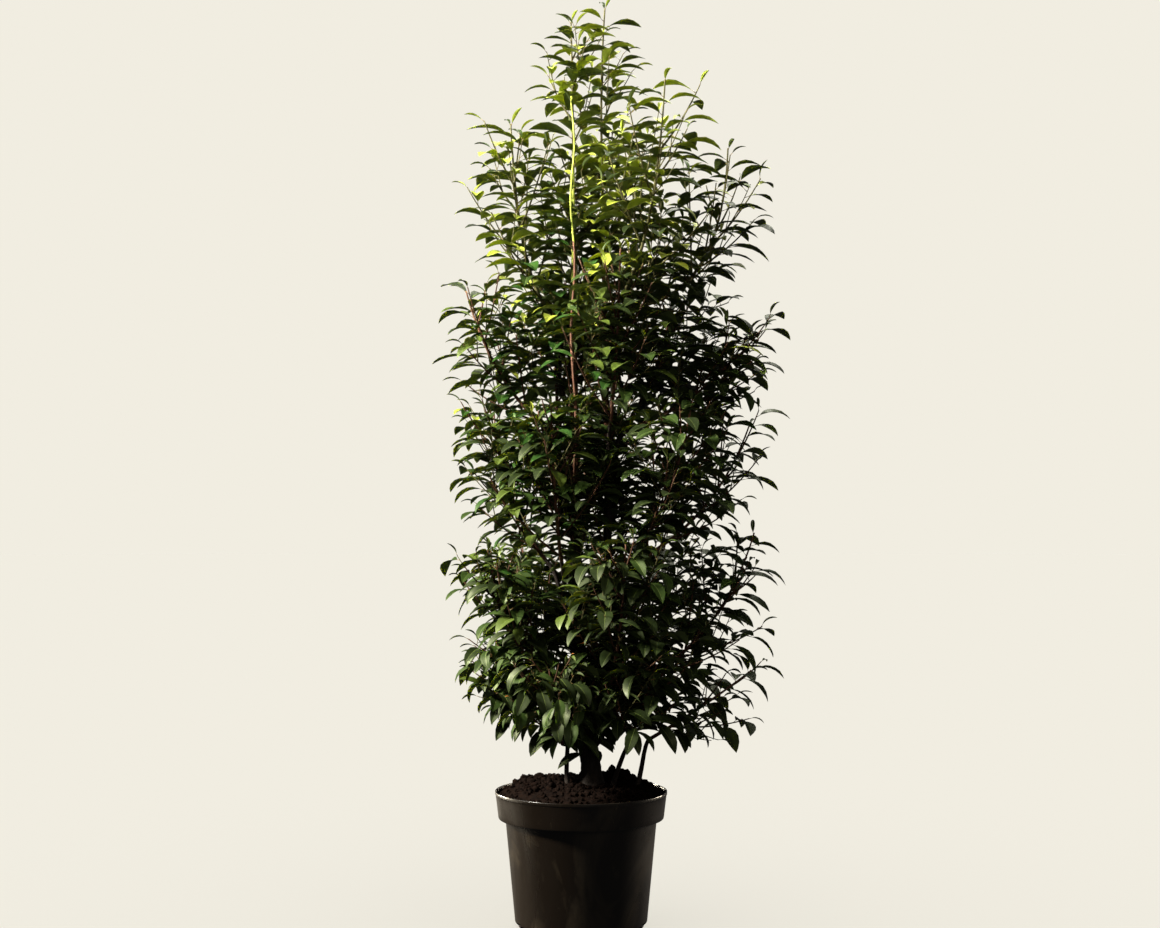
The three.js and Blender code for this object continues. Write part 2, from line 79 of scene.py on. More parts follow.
# Each tier: the source's sizes as far as bough_radius, then its leaves' roll, level, scale and slimness here
TIER_KEYS = (
    "fork", "foot", "inset", "bottom", "spread", "droop", "lift", "bough_radius",
    "roll", "level", "scale", "slim",
)
TIER_ROWS = {
    "low": (34, 80, 74, 34, 155, 0.42, 0.54, 5, 0.95, 0.5, 0.87, 1),
    "waist": (60, 176, 56, 120, 165, 0.3, 0.72, 6, 0.85, 0.5, 0.89, 1),
    "middle": (180, 392, 54, 330, 170, 0.2, 0.7, 5.5, 0.62, 0.44, 0.94, 0.97),
    "shoulder": (400, 626, 52, 540, 165, 0.12, 0.68, 5, 0.52, 0.36, 1, 0.95),
    "high": (620, 836, 48, 770, 155, 0.05, 0.8, 4.2, 0.4, 0.3, 1.04, 0.93),
}
TIERS = {name: dict(zip(TIER_KEYS, row)) for name, row in TIER_ROWS.items()}
FORK_STAGGER = 17
BOUGH_TIP = 3.4
SOURCE_LEAF = 138
TIP_SPREAD = 0.62

# Each tier's masses: side, azimuth, reach, top, the leader or the root place that the bough starts from, and
# what is special here. shift is how far the stem's tip stands off the source's, outward and up, open how far
# apart its leaves are, lift how far it goes outwards before it rises, and hang how far its leaves hang down
MASSES = {
    "low": [
        ("right", 0, 285, 236, (93, -4), {"shift": (38, -8), "open": 1.35, "twigs": 7}),
        ("front_right", -62, 240, 250, (51, -22), {"open": 1.35}),
        ("front_left", -124, 245, 256, "trunk", {"shift": (4, -14), "open": 0.85, "twigs": 16, "hang": 0.9}),
        ("left", 176, 254, 236, (-19, -8), {"shift": (16, 44), "open": 0.85, "twigs": 16, "hang": 0.74}),
        ("back", 88, 245, 256, "trunk", {}),
    ],
    "waist": [
        ("right", -6, 328, 470, "second_leader", {"open": 1.45}),
        ("front", -82, 268, 452, "second_leader", {"hang": 0.36}),
        ("front_left", -156, 296, 440, "trunk", {"hang": 0.36}),
        ("back_left", 138, 280, 456, "trunk", {}),
        ("back_right", 56, 276, 470, "trunk", {}),
    ],
    "middle": [
        ("right", 8, 316, 690, "second_leader", {"shift": (12, -26), "open": 1.5, "twigs": 10}),
        ("front_right", -50, 288, 694, "second_leader", {}),
        ("front_left", -118, 276, 684, "trunk", {}),
        ("left", 174, 284, 706, "trunk", {"shift": (-4, -16), "open": 1.1}),
        ("back", 92, 276, 712, "trunk", {}),
    ],
    "shoulder": [
        ("right", -4, 322, 846, "second_leader", {"shift": (0, -24)}),
        ("front", -84, 254, 944, "second_leader", {}),
        ("left", -176, 322, 930, "trunk", {"shift": (-2, -34), "open": 1.15, "twigs": 9}),
        ("back_left", 124, 244, 950, "trunk", {}),
        ("back_right", 54, 262, 962, "second_leader", {"shift": (34, -26), "open": 1.25}),
    ],
    "high": [
        (
            "right", 2, 312, 1150, "second_leader",
            {"shift": (-26, 4), "open": 1.32, "twigs": 15, "lift": 0.94},
        ),
        ("front", -64, 214, 1210, "second_leader", {"shift": (70, 16), "open": 1.15}),
        ("left", -178, 276, 1190, "trunk", {"shift": (-34, 4), "open": 1.15}),
        ("back", 84, 200, 1190, "trunk", {"open": 1.25}),
    ],
}
# The masses that carry on from the leaders' tips: leader, top, lean, spread
TOPS = [("trunk", 1378, (-4, 0), 92), ("second_leader", 1402, (6, 6), 92)]

# Lengths of the leaders that bear twigs themselves: leader, tier, lowest, highest, twigs
ALONG = [
    ("trunk", "low", 48, 140, 6),
    ("second_leader", "low", 74, 150, 4),
    ("trunk", "waist", 150, 350, 6),
    ("second_leader", "waist", 150, 360, 6),
    ("trunk", "middle", 350, 600, 8),
    ("second_leader", "middle", 360, 640, 8),
    ("trunk", "shoulder", 600, 840, 8),
    ("trunk", "high", 840, 1088, 13),
    ("second_leader", "shoulder", 640, 860, 6),
    ("second_leader", "high", 860, 1124, 11),
]

# The rule's own sizes here, with finer twigs and leaves near life size
STEM = Record(base=3.4, tip=1.3, sides=8, rings=26, leaves_from=0.1, internode=16)
LEADER = Record(leaves_from=0.02, internode=34)
SHOOT = Record(leaves_from=0.5, internode=26, base=2.8, tip=1.4)
# An upright shoot in front of the trunk, red-brown and then pale green, which shows through the leaves
SHOOT_PATH = [
    (-9, 3, 440), (-12, -36, 520), (-9, -82, 640), (-17, -96, 780), (-11, -100, 900), (-18, -94, 1010),
    (-12, -84, 1110), (-18, -76, 1190),
]
TWIG = Record(
    count=13, first=0.02, last=0.9, open=0.86, rise=0.42, longest=190, tries=16,
    base=1.9, tip=0.9, sides=6, rings=11, leaves_from=0.18, internode=17, bend=0.3,
)
SPRIG = Record(
    count=2, first=0.2, last=0.75, open=0.75, rise=0.4, longest=84, tries=6,
    base=1.2, tip=0.7, sides=5, rings=6, leaves_from=0.2, internode=16, bend=0.25,
)
LEAF = Record(
    length=69, width=27, thickness=0.45, rib=0.5, petiole=9, tries=7,
    forward=(0.0, 0.3), lean=(0.7, 1.4), outward=0.12, rise=0.1, lift=(0.28, 0.5), fall=(0.4, 0.8),
    size=(0.8, 1.1), stalk=(0.8, 1.2), slim=(0.86, 1.12), fold=(0.24, 0.62), twist=0.7, curl=0.05,
)
# Least distances between leaves and between shoots' ends, deep in the crown and at its outline
LEAF_ROOM = (10, 28)
SHOOT_ROOM = (17, 42)
# The crown's radius by height, and how much farther apart its inner leaves are by height
OUTLINE = [(0, 150), (150, 240), (400, 300), (900, 290), (1150, 230), (1250, 120), (1400, 80)]
AIRY = [(0, 1), (760, 1.03), (940, 1.95), (1060, 2.05), (1120, 1.8), (1220, 1.85), (1300, 1.95), (1400, 2.2)]
# Painted light and shade from the plant's left to its right, low down and high up: leaves on the lit
# left take younger, brighter colour classes and those on the shaded right older, darker ones
PAINTED_SIDE_LIGHT_LOW = [(-250, 0.12), (-60, 0.19), (-15, 0.14), (15, -0.1), (60, -0.32), (130, -0.18), (300, -0.13)]
PAINTED_SIDE_LIGHT_HIGH = [(-250, 0), (-60, 0.06), (60, 0.05), (150, -0.06), (300, -0.16)]
# What adds to a leaf's youth and to the light painted on it: height and the crown's top stand both for young
# growth and for painted light from above. High up, chance parts the leaves into ones painted lit and ones
# painted in shade
YOUTH_AND_LIGHT = Record(
    height=0.38, crown=0.6, outer=0.1, end=0.12, shoot=-0.4, chance=0.26,
    bright=0.2, shaded=-0.75, shaded_share=0.48, youngest=1.12, ages=5,
)
# Where the middle-aged leaves are a deep green, and the weights that deal them out by their places
DEEP_GREEN = Record(x=-92, z=740, wide=80, tall=230, back=90, share=0.95, deal=(0.37, 0.59, 0.73))
# A shoot's usual leaves, and the small ones at its end
USUAL = Record(forward=0, steepest=0.75, size=1, stalk=1, width=1, fold=0)
SMALL = Record(forward=1.8, steepest=0.9, size=0.5, stalk=0.6, width=0.62, fold=0.5)
# The tall gap in the leaves that shows the upper trunk
GAP = Record(x=-14, half_width=20, low=520, high=1170, wider_above=900)
GREEN_STEMS_ABOVE = 1100

# Where a leaf's points lie along it and across it. The two middle columns are the rib's sides
STATIONS = [0, 0.07, 0.2, 0.36, 0.54, 0.72, 0.88, 1]
HALF_WIDTHS = [0, 0.28, 0.68, 0.96, 1, 0.8, 0.4, 0]
COLUMNS = [-1, -0.52, 0, 0, 0.52, 1]
# The numbers of a leaf's points, after its root and its tip: those on top, and those inside the outline below
LEAF_TOP = np.arange(36).reshape(len(STATIONS) - 2, len(COLUMNS)) + 2
LEAF_BELOW = np.arange(24).reshape(len(STATIONS) - 2, len(COLUMNS) - 2) + 38
LEAF_POINTS = 2 + LEAF_TOP.size + LEAF_BELOW.size


def seeded(seed):
    """A repeatable run of numbers from 0 to 1."""
    state = seed % 2147483646 + 1

    def draw():
        nonlocal state
        state = state * 16807 % 2147483647
        return state / 2147483647

    return draw


def mix(a, b, share):
    return a + (b - a) * share


def read(table, at):
    """A value between the rows of a table of (place, value)."""
    return float(np.interp(at, *zip(*table)))


def lattice(ix, iy, iz, seed):
    """A number from 0 to 1 for each whole-number place."""
    h = (ix * 374761393 + iy * 668265263 + iz * 2147483629 + seed * 974634777) & 0xFFFFFFFF
    h = ((h ^ (h >> 13)) * 1274126177) & 0xFFFFFFFF
    return ((h ^ (h >> 16)) & 0xFFFFFF) / 0xFFFFFF


def grain(points, seed):
    """Smooth noise from 0 to 1 at each point, with features about one unit across."""
    low = np.floor(points).astype(np.int64)
    part = points - low
    part = part * part * (3 - 2 * part)
    total = np.zeros(len(points))
    for corner in range(8):
        step = np.array([corner & 1, corner >> 1 & 1, corner >> 2 & 1])
        weight = np.prod(np.where(step == 1, part, 1 - part), axis=1)
        total += weight * lattice(*(low + step).T, seed)
    return total


class Path:
    """A line in space with a frame along it, read by the share of its own length."""

    def __init__(self, curve, samples=40):
        self.points = [curve(i / samples) for i in range(samples + 1)]
        self.reached = [0.0]
        for a, b in zip(self.points, self.points[1:]):
            self.reached.append(self.reached[-1] + (b - a).length)
        self.length = self.reached[-1]
        self.tangents = [(b - a).normalized() for a, b in zip(self.points, self.points[1:])]
        start = self.tangents[0]
        normal = start.cross(Vector((0, 1, 0)) if abs(start.y) < 0.9 else Vector((1, 0, 0))).normalized()
        self.normals = []
        for tangent in self.tangents:
            normal = (normal - tangent * normal.dot(tangent)).normalized()
            self.normals.append(normal)

    def step(self, share):
        wanted = share * self.length
        i = min(bisect_right(self.reached, wanted), len(self.points) - 1) - 1
        span = self.reached[i + 1] - self.reached[i]
        return i, (wanted - self.reached[i]) / span if span else 0

    def at(self, share):
        i, part = self.step(share)
        return self.points[i].lerp(self.points[i + 1], part)

    def tangent(self, share):
        return self.tangents[self.step(share)[0]]

    def side(self, share, angle):
        """A direction square to the path, turned round it by an angle."""
        i = self.step(share)[0]
        tangent, normal = self.tangents[i], self.normals[i]
        return normal * math.cos(angle) + tangent.cross(normal) * math.sin(angle)


def bezier(*points):
    """A quadratic or cubic curve through the first and last points."""

    def curve(t):
        layer = list(points)
        while len(layer) > 1:
            layer = [a.lerp(b, t) for a, b in zip(layer, layer[1:])]
        return layer[0]

    return curve


def through(points):
    """A centripetal curve through all the points."""
    points = [Vector(p) for p in points]
    padded = [points[0] * 2 - points[1], *points, points[-1] * 2 - points[-2]]

    def curve(t):
        spans = len(points) - 1
        i = min(int(t * spans), spans - 1)
        w = t * spans - i
        p0, p1, p2, p3 = padded[i : i + 4]
        d0, d1, d2 = (math.sqrt((b - a).length) for a, b in ((p0, p1), (p1, p2), (p2, p3)))
        m1 = ((p1 - p0) / d0 - (p2 - p0) / (d0 + d1) + (p2 - p1) / d1) * d1
        m2 = ((p2 - p1) / d1 - (p3 - p1) / (d1 + d2) + (p3 - p2) / d2) * d1
        c2 = (p2 - p1) * 3 - m1 * 2 - m2
        c3 = (p1 - p2) * 2 + m1 + m2
        return p1 + m1 * w + c2 * (w * w) + c3 * (w * w * w)

    return curve


class Finish:
    """A procedural material: a plain colour with a second tone, uneven gloss and fine relief."""

    def __init__(self, name):
        self.material = bpy.data.materials.new(name)
        self.material.use_nodes = True
        self.nodes = self.material.node_tree.nodes
        self.links = self.material.node_tree.links
        self.shader = self.nodes["Principled BSDF"]
        self.place = self.nodes.new("ShaderNodeTexCoord").outputs["Object"]

    def set(self, **values):
        for key, value in values.items():
            self.shader.inputs[key.replace("_", " ").title().replace("Ior", "IOR")].default_value = value
        return self

    def join(self, name, socket):
        self.links.new(socket, self.shader.inputs[name])
        return self

    def node(self, kind, **inputs):
        """A new node's outputs, with its inputs set to values or linked to sockets."""
        made = self.nodes.new(f"ShaderNode{kind}")
        for key, value in inputs.items():
            socket = made.inputs[key.replace("_", " ")]
            if isinstance(value, bpy.types.NodeSocket):
                self.links.new(value, socket)
            else:
                socket.default_value = value
        return made.outputs

    def noise(self, low, high, scale, detail=3, stretch=(1, 1, 1), rough=0.5, distortion=0, to=(0, 1)):
        """Noise whose values from low to high run over the range to."""
        fac = self.fine(scale, detail, stretch, rough, distortion)
        ends = {"From_Min": low, "From_Max": high, "To_Min": to[0], "To_Max": to[1]}
        return self.node("MapRange", Value=fac, **ends)["Result"]

    def fine(self, scale, detail=3, stretch=(1, 1, 1), rough=0.5, distortion=0):
        place = self.node("Mapping", Vector=self.place, Scale=stretch)["Vector"]
        looks = {"Scale": scale, "Detail": detail, "Roughness": rough, "Distortion": distortion}
        return self.node("TexNoise", Vector=place, **looks)["Fac"]

    def blended(self, share, a, b):
        """Mixes two colours, each a tuple or a socket."""
        node = self.nodes.new("ShaderNodeMix")
        node.data_type = "RGBA"
        self.links.new(share, node.inputs[0])
        for i, colour in ((6, a), (7, b)):
            if isinstance(colour, tuple):
                node.inputs[i].default_value = (*colour, 1)
            else:
                self.links.new(colour, node.inputs[i])
        return node.outputs[2]

    def tones(self, patch, low, high, spot, over):
        """The base colour: patches of two tones, with spots of a third one over them."""
        return self.join("Base Color", self.blended(spot, self.blended(patch, low, high), over))

    def relief(self, strength, distance, *noise):
        bump = self.node("Bump", Height=self.fine(*noise), Strength=strength, Distance=distance)
        return self.join("Normal", bump["Normal"])


def toned(colour, share):
    return tuple(c * share for c in colour)


def leaf_finish(name, colour, rough=(0.44, 0.6), coat=0.02, glow=0.045, gloss=0.42):
    """Leathery leaf: patches of two tones, fine mottling, a waxy gloss and light shining through."""
    f = Finish(name).set(
        coat_weight=coat, coat_roughness=0.25, subsurface_weight=glow, subsurface_radius=(0.9, 1, 0.12),
        subsurface_scale=0.003, specular_tint=(0.92, 1, 0.6, 1), specular_ior_level=gloss,
    )
    patch, mottle = f.noise(0.36, 0.64, 26, 2), f.noise(0.35, 0.7, 420)
    f.tones(patch, toned(colour, 0.74), toned(colour, 1.24), mottle, toned(colour, 0.95))
    f.join("Roughness", f.noise(0.3, 0.7, 90, 2, to=rough))
    return f.relief(0.22, 0.0006, 700).material


def bark_finish(name, colour, light, stretch=0.25):
    """Bark with long fine cracks, pale pores and a matt skin."""
    f = Finish(name).set(specular_ior_level=0.25)
    streak = f.noise(0.34, 0.68, 260, 5, (1, 1, stretch), 0.62)
    pores = f.noise(0.62, 0.72, 330, 2, (1, 1, 2.4))
    f.tones(streak, toned(colour, 0.5), toned(colour, 1.3), pores, light)
    f.join("Roughness", f.noise(0.3, 0.7, 120, to=(0.66, 0.9)))
    return f.relief(0.6, 0.0012, 520, 5, (1, 1, stretch), 0.65).material


def pot_finish(name):
    """Moulded black-brown plastic: satin, with rubbed smears, dust and fine scratches."""
    f = Finish(name).set(specular_ior_level=0.36)
    smear, dust = f.noise(0.5, 0.66, 9, 5, (1, 1, 0.6), 0.6, 1.6), f.noise(0.6, 0.84, 60, 6, (1, 1, 0.5), 0.7)
    f.tones(smear, (0.0042, 0.0026, 0.0014), (0.0145, 0.0106, 0.0064), dust, (0.018, 0.0145, 0.0098))
    f.join("Roughness", f.noise(0.34, 0.7, 10, 4, (1, 1, 0.45), 0.6, 0.8, to=(0.22, 0.34)))
    return f.relief(0.08, 0.0003, 1400).material


def soil_finish(name, colour, light):
    """Damp potting mix: crumbs from near black to brown, with pale fibres."""
    f = Finish(name).set(specular_ior_level=0.04)
    crumb, fibre = f.noise(0.34, 0.66, 150, 6, (1, 1, 1), 0.7), f.noise(0.66, 0.74, 620, 2)
    f.tones(crumb, toned(colour, 0.35), toned(colour, 1.5), fibre, light)
    f.join("Roughness", f.noise(0.3, 0.7, 300, 2, to=(0.75, 0.95)))
    return f.relief(0.8, 0.0016, 800, 5, (1, 1, 1), 0.7).material


# Leaf colours, gloss and glow from the youngest and brightest to the oldest and darkest, which also carry the
# painted light and painted shade, then the dead ones and the deep green ones
LEAF_LOOKS = [
    ((0.235, 0.275, 0.034), 0.45, 0.1),
    ((0.2, 0.232, 0.024), 0.45, 0.1),
    ((0.045, 0.068, 0.0078), 0.4, 0.045),
    ((0.0165, 0.033, 0.005), 0.32, 0.045),
    ((0.0095, 0.0165, 0.0036), 0.3, 0.045),
    ((0.26, 0.075, 0.014), 0.3, 0.045),
    ((0.013, 0.043, 0.005), 0.3, 0.045),
]
LEAF_SET = [
    leaf_finish(f"leaf_top_{i}", colour, gloss=gloss, glow=glow)
    for i, (colour, gloss, glow) in enumerate(LEAF_LOOKS)
]
LEAF_SET += [
    leaf_finish("leaf_rib_young", (0.22, 0.26, 0.045)),
    leaf_finish("leaf_rib_old", (0.09, 0.12, 0.03)),
    leaf_finish("leaf_under_young", (0.2, 0.245, 0.032), (0.5, 0.62), 0, 0.1),
    leaf_finish("leaf_under_old", (0.05, 0.07, 0.02), (0.5, 0.62), 0),
    leaf_finish("leaf_stalk", (0.12, 0.07, 0.025), (0.4, 0.5), 0, 0),
]
DEAD, DEEP, RIB, UNDER, STALK = 5, 6, 7, 9, 11

BARK = bark_finish("bark", (0.014, 0.0086, 0.0056), (0.042, 0.031, 0.021))
SHOOT_BARK = bark_finish("shoot_bark", (0.36, 0.42, 0.06), (0.46, 0.5, 0.11))
YOUNG_BARK = bark_finish("young_bark", (0.125, 0.054, 0.031), (0.22, 0.13, 0.075))
TWIG_SET = [
    YOUNG_BARK,
    bark_finish("twig_red", (0.08, 0.034, 0.017), (0.15, 0.1, 0.05)),
    bark_finish("twig_green", (0.07, 0.064, 0.02), (0.13, 0.118, 0.04)),
]
SOIL = soil_finish("potting_mix", (0.004, 0.0017, 0.0009), (0.02, 0.01, 0.006))
POT_FINISH = pot_finish("pot_plastic")


def placed(name, data):
    made = bpy.data.objects.new(name, data)
    bpy.context.scene.collection.objects.link(made)
    return made


class Batch:
    """Gathers many small closed shapes and makes one mesh of them."""

    def __init__(self):
        self.points, self.count = [], 0
        self.faces, self.finishes = {4: [], 3: []}, {4: [], 3: []}

    def add(self, points, quads=(), tris=(), finish=0, tri_finish=None):
        """Takes in a shape. A finish is one number, or one for each face."""
        points = np.asarray(points, float).reshape(-1, 3)
        if tri_finish is None:
            tri_finish = finish
        for size, faces, dealt in ((4, quads, finish), (3, tris, tri_finish)):
            faces = np.asarray(faces, np.int64).reshape(-1, size)
            self.faces[size].append(faces + self.count)
            self.finishes[size].append(np.broadcast_to(np.asarray(dealt), (len(faces),)))
        self.points.append(points)
        self.count += len(points)

    def make(self, name, materials, lift=GROUND):
        points = np.concatenate(self.points) + (0, 0, lift)
        quads, tris = (np.concatenate(self.faces[size]) for size in (4, 3))
        corners = np.concatenate([quads.ravel(), tris.ravel()])
        starts = np.concatenate([np.arange(len(quads)) * 4, len(quads) * 4 + np.arange(len(tris)) * 3])
        mesh = bpy.data.meshes.new(name)
        mesh.vertices.add(len(points))
        mesh.vertices.foreach_set("co", (points * MM).astype(np.float32).ravel())
        mesh.loops.add(len(corners))
        mesh.loops.foreach_set("vertex_index", corners.astype(np.int32))
        mesh.polygons.add(len(starts))
        mesh.polygons.foreach_set("loop_start", starts.astype(np.int32))
        finishes = np.concatenate([*self.finishes[4], *self.finishes[3]])
        mesh.polygons.foreach_set("material_index", finishes.astype(np.int32))
        mesh.update(calc_edges=True)
        mesh.shade_smooth()
        for material in materials:
            mesh.materials.append(material)
        return placed(name, mesh)


def ring_faces(rings, sides):
    """Quads between rings of points, and fans from the two points after them that close both ends."""
    i = np.arange(rings - 1)[:, None] * sides
    j = np.arange(sides)
    k = (j + 1) % sides
    quads = np.stack([i + j, i + k, i + k + sides, i + j + sides], axis=-1).reshape(-1, 4)
    first, last = rings * sides, (rings - 1) * sides
    fans = [(np.full(sides, first), k, j), (np.full(sides, first + 1), last + j, last + k)]
    return quads, np.concatenate([np.stack(fan, axis=-1) for fan in fans])


def spokes(count, first, second):
    """Directions all round each axis, from two that are square to it."""
    angles = np.arange(count)[:, None] * TURN / count
    return first[:, None] * np.cos(angles) + second[:, None] * np.sin(angles)


def tube(batch, path, radius_at, sides, rings, relief=None, finish=0, changes=()):
    """A limb along a path, rounded off at its far end, with an optional relief on its skin."""
    shares = np.linspace(0, 1, rings + 1)
    centres = np.array([path.at(s) for s in shares])
    tangents = np.array([path.tangent(s) for s in shares])
    normals = np.array([path.side(s, 0) for s in shares])
    radii = np.array([radius_at(s) for s in shares])
    out = spokes(sides, normals, np.cross(tangents, normals))
    points = centres[:, None] + out * radii[:, None, None]
    if relief is not None:
        extra = relief(points.reshape(-1, 3), np.repeat(radii, sides))
        points = points + out * extra.reshape(rings + 1, sides)[:, :, None]
    points = points.reshape(-1, 3)
    ends = np.array([centres[0], centres[-1] + tangents[-1] * radii[-1] * 0.8])
    tri_finish = None
    if changes:
        ragged = np.repeat(shares[:-1], sides) + (grain(points[: rings * sides] / (5, 5, 30), 31) - 0.5) * 0.1
        finish, tri_finish = np.searchsorted(changes, ragged), np.repeat((0, len(changes)), sides)
    batch.add(np.concatenate([points, ends]), *ring_faces(rings + 1, sides), finish, tri_finish)


def bark_relief(depth, seed):
    """Shallow knobbles, long cracks and cross-wise pores, deeper on a thicker limb."""

    def relief(points, radii):
        knobs = grain(points / (16, 16, 26), seed) - 0.5
        cracks = np.abs(grain(points / (3.2, 3.2, 15), seed + 1) - 0.5) * 2
        pores = np.clip(grain(points / (4.5, 4.5, 2.2), seed + 2) - 0.68, 0, 1) * 3
        size = np.clip(radii / 14, 0.2, 1.3)
        return depth * size * (knobs * 2.4 - (1 - cracks) ** 3 * 0.9 + pores * 0.6)

    return relief


def limb_radius(length, foot, tip, flare, flare_height, power=1):
    """A limb's radius by the share of its length: it tapers, and flares at its foot."""
    return lambda share: mix(foot, tip, share**power) + flare * math.exp(-share * length / flare_height)


def share_at_height(path, height):
    low, high = 0.0, 1.0
    for _ in range(30):
        middle = (low + high) / 2
        low, high = (middle, high) if path.at(middle).z < height else (low, middle)
    return low


def point_at_height(path, height):
    return path.at(share_at_height(path, height))


def stem_curve(foot, tip, lift):
    bend = foot + Vector((tip.x - foot.x, tip.y - foot.y, 0)) * lift
    bend.z = mix(foot.z, tip.z, 1 - lift)
    return bezier(foot, bend, tip)


# What a mass is like where nothing else is said
PLAIN = dict(
    tier="high", bough=None, form=STEM, outward=Vector((0, 0, 0)), droop=0, hang=0, scale=1, tip_spread=1,
    roll=0.4, level=0.3, slim=0.93, twigs=0, longest=0, open=1,
)


def mass_of(*tables, **own):
    """A mass that is plain but for what the tables and its own values say, the last one first."""
    said = dict(PLAIN)
    for table in (*tables, own):
        said |= table
    return Record(**said)


def lay_out(index, tier_name, side, azimuth, reach, top, start_from, own):
    """A mass's place: its bough, its stem and the space that its leaves keep to."""
    tier = TIERS[tier_name]
    angle = math.radians(azimuth)
    outward = Vector((math.cos(angle), math.sin(angle), 0))
    axis = Vector((CROWN.x, 0, 0))
    rooted = not isinstance(start_from, str)
    inner = axis.copy() if rooted else point_at_height(LEADERS[start_from].line, tier["foot"])
    foot = inner + outward * tier["inset"]
    foot.z = tier["foot"]
    tip = axis + outward * (reach - SOURCE_LEAF * 0.52)
    tip.z = top - SOURCE_LEAF * mix(0.56, 0.3, tier["droop"])
    stem = Path(stem_curve(foot, tip, tier["lift"]), 60)
    if rooted:
        start = Vector((*start_from, -14))
    else:
        start = point_at_height(LEADERS[start_from].line, tier["fork"] + (index % 5) * FORK_STAGGER)
    start_aim = (UP * 0.6 + outward * (0.25 if rooted else 0.8)).normalized()
    length = (foot - start).length
    arrival = foot - stem.tangent(0) * (length * (0.14 if tier_name == "low" else 0.4))
    bough = Path(bezier(start, start + start_aim * (length * 0.4), arrival, foot), 60)
    away, up = own.get("shift", (0, 0))
    tip += outward * away
    tip.z = top - LEAF.length * mix(0.5, 0.3, tier["droop"]) + up
    return mass_of(
        tier, {"twigs": TWIG.count, "hang": tier["droop"]}, own, name=f"{tier_name}_{side}", tier=tier_name,
        stem=Path(stem_curve(foot, tip, own.get("lift", tier["lift"])), 60), bough=bough, rooted=rooted,
        outward=outward, reach=reach + max(0, away), top=top + max(0, up), tip_spread=TIP_SPREAD,
        longest=TWIG.longest,
    )


def lay_out_top(leader, top, lean, spread):
    """A top mass's place: it carries straight on from its leader's tip."""
    line = LEADERS[leader].line
    foot, aim = line.at(1), line.tangent(1)
    tip = Vector((foot.x + lean[0], foot.y + lean[1], top - LEAF.length * 0.5))
    bend = foot + aim * ((tip - foot).length / 2)
    return mass_of(
        name=f"top_of_{leader}", stem=Path(bezier(foot, bend, tip), 40), scale=1.02, roll=0.36, twigs=4,
        reach=spread * 2, top=top, bottom=foot.z - 40, spread=spread, longest=88,
        open=1 if leader == "trunk" else 1.25,
    )


def lay_out_along(leader, tier, low, high, twigs):
    """A length of a leader that bears its own twigs."""
    line = LEADERS[leader].line
    ends = [share_at_height(line, z) for z in (low, high)]
    droop, hang = (0.5, 0.66) if tier == "low" else (0, 0)
    return mass_of(
        TIERS[tier], name=f"along_{leader}_{tier}", tier=tier, form=LEADER, droop=droop, hang=hang,
        stem=Path(lambda t: line.at(mix(*ends, t)), 40), reach=205, top=high + 90, bottom=low - 30,
        spread=128, tip_spread=0.85, twigs=twigs, longest=105,
    )


def lay_out_shoot():
    """The upright shoot in front of the trunk, which bears leaves and no twigs."""
    return mass_of(
        name="front_shoot", stem=Path(through(SHOOT_PATH), 60), form=SHOOT, outward=Vector((0, -1, 0)),
        reach=240, top=1290, bottom=780, spread=128,
    )


def in_space(mass, point):
    if not mass.bottom <= point.z <= mass.top:
        return False
    if math.hypot(point.x - CROWN.x, point.y) > mass.reach:
        return False
    return any((near - point).length < room for near, room in mass.near)


class Spacing:
    """Keeps places apart, by more towards the crown's outline than deep inside it."""

    def __init__(self, room):
        self.room, self.cell, self.kept = room, room[1] * 2, {}

    def place(self, point):
        return tuple(int(c // self.cell) for c in point)

    def crowded(self, point, openness):
        out = (math.hypot(point.x - CROWN.x, point.y) / read(OUTLINE, point.z) - 0.5) / 0.5
        airy = read(AIRY, point.z)
        room = min(self.cell, mix(self.room[0] * airy, self.room[1], min(1, max(0, out))) * openness)
        x, y, z = self.place(point)
        for i in range(27):
            for other in self.kept.get((x + i % 3 - 1, y + i // 3 % 3 - 1, z + i // 9 - 1), ()):
                if (other - point).length < room:
                    return True
        return False

    def keep(self, point):
        self.kept.setdefault(self.place(point), []).append(point)


leaf_places, shoot_places = Spacing(LEAF_ROOM), Spacing(SHOOT_ROOM)


def hides_leader(point):
    """True in front of the upper trunk, which shows through the leaves, more so towards its top."""
    if point.y > 0 or abs(point.x - GAP.x) > GAP.half_width or not GAP.low < point.z < GAP.high:
        return False
    return math.sin(point.z / 27) > (0 if point.z > GAP.wider_above else 0.2)


def blade_reach(lift, fall, upto):
    """How far along and above its aim a blade has come at a share of its length."""
    steps = 6
    along = above = 0.0
    for i in range(steps):
        share = (i + 0.5) / steps * upto
        angle = lift * (1 - share) - fall * share
        along += math.cos(angle) * upto / steps
        above += math.sin(angle) * upto / steps
    return along, above


def sprout(mass, parent, form, share, turn, random, wanted):
    """Grows one side shoot, shortened until its end and room for a leaf fit in the mass's space."""
    base = parent.path.at(share)
    tangent = parent.path.tangent(share)
    for attempt in range(form.tries):
        length = wanted * mix(1, 0.4, attempt / form.tries)
        angle = turn + attempt * 1.1 + (random() - 0.5) * 0.5
        side = parent.path.side(share, angle)
        aim = tangent * math.cos(form.open) + side * math.sin(form.open)
        aim.z += form.rise * (1 - mass.droop)
        aim.normalize()
        end = base + aim * length + UP * (length * form.bend * (1 - mass.droop))
        ahead = end + aim * (LEAF.length * 0.5)
        if not in_space(mass, ahead) or shoot_places.crowded(end, mass.open):
            continue
        shoot_places.keep(end)
        path = Path(bezier(base, base + aim * (length * 0.55), end), 12)
        return Record(path=path, form=form, turn=angle + 2, age=0)
    return None


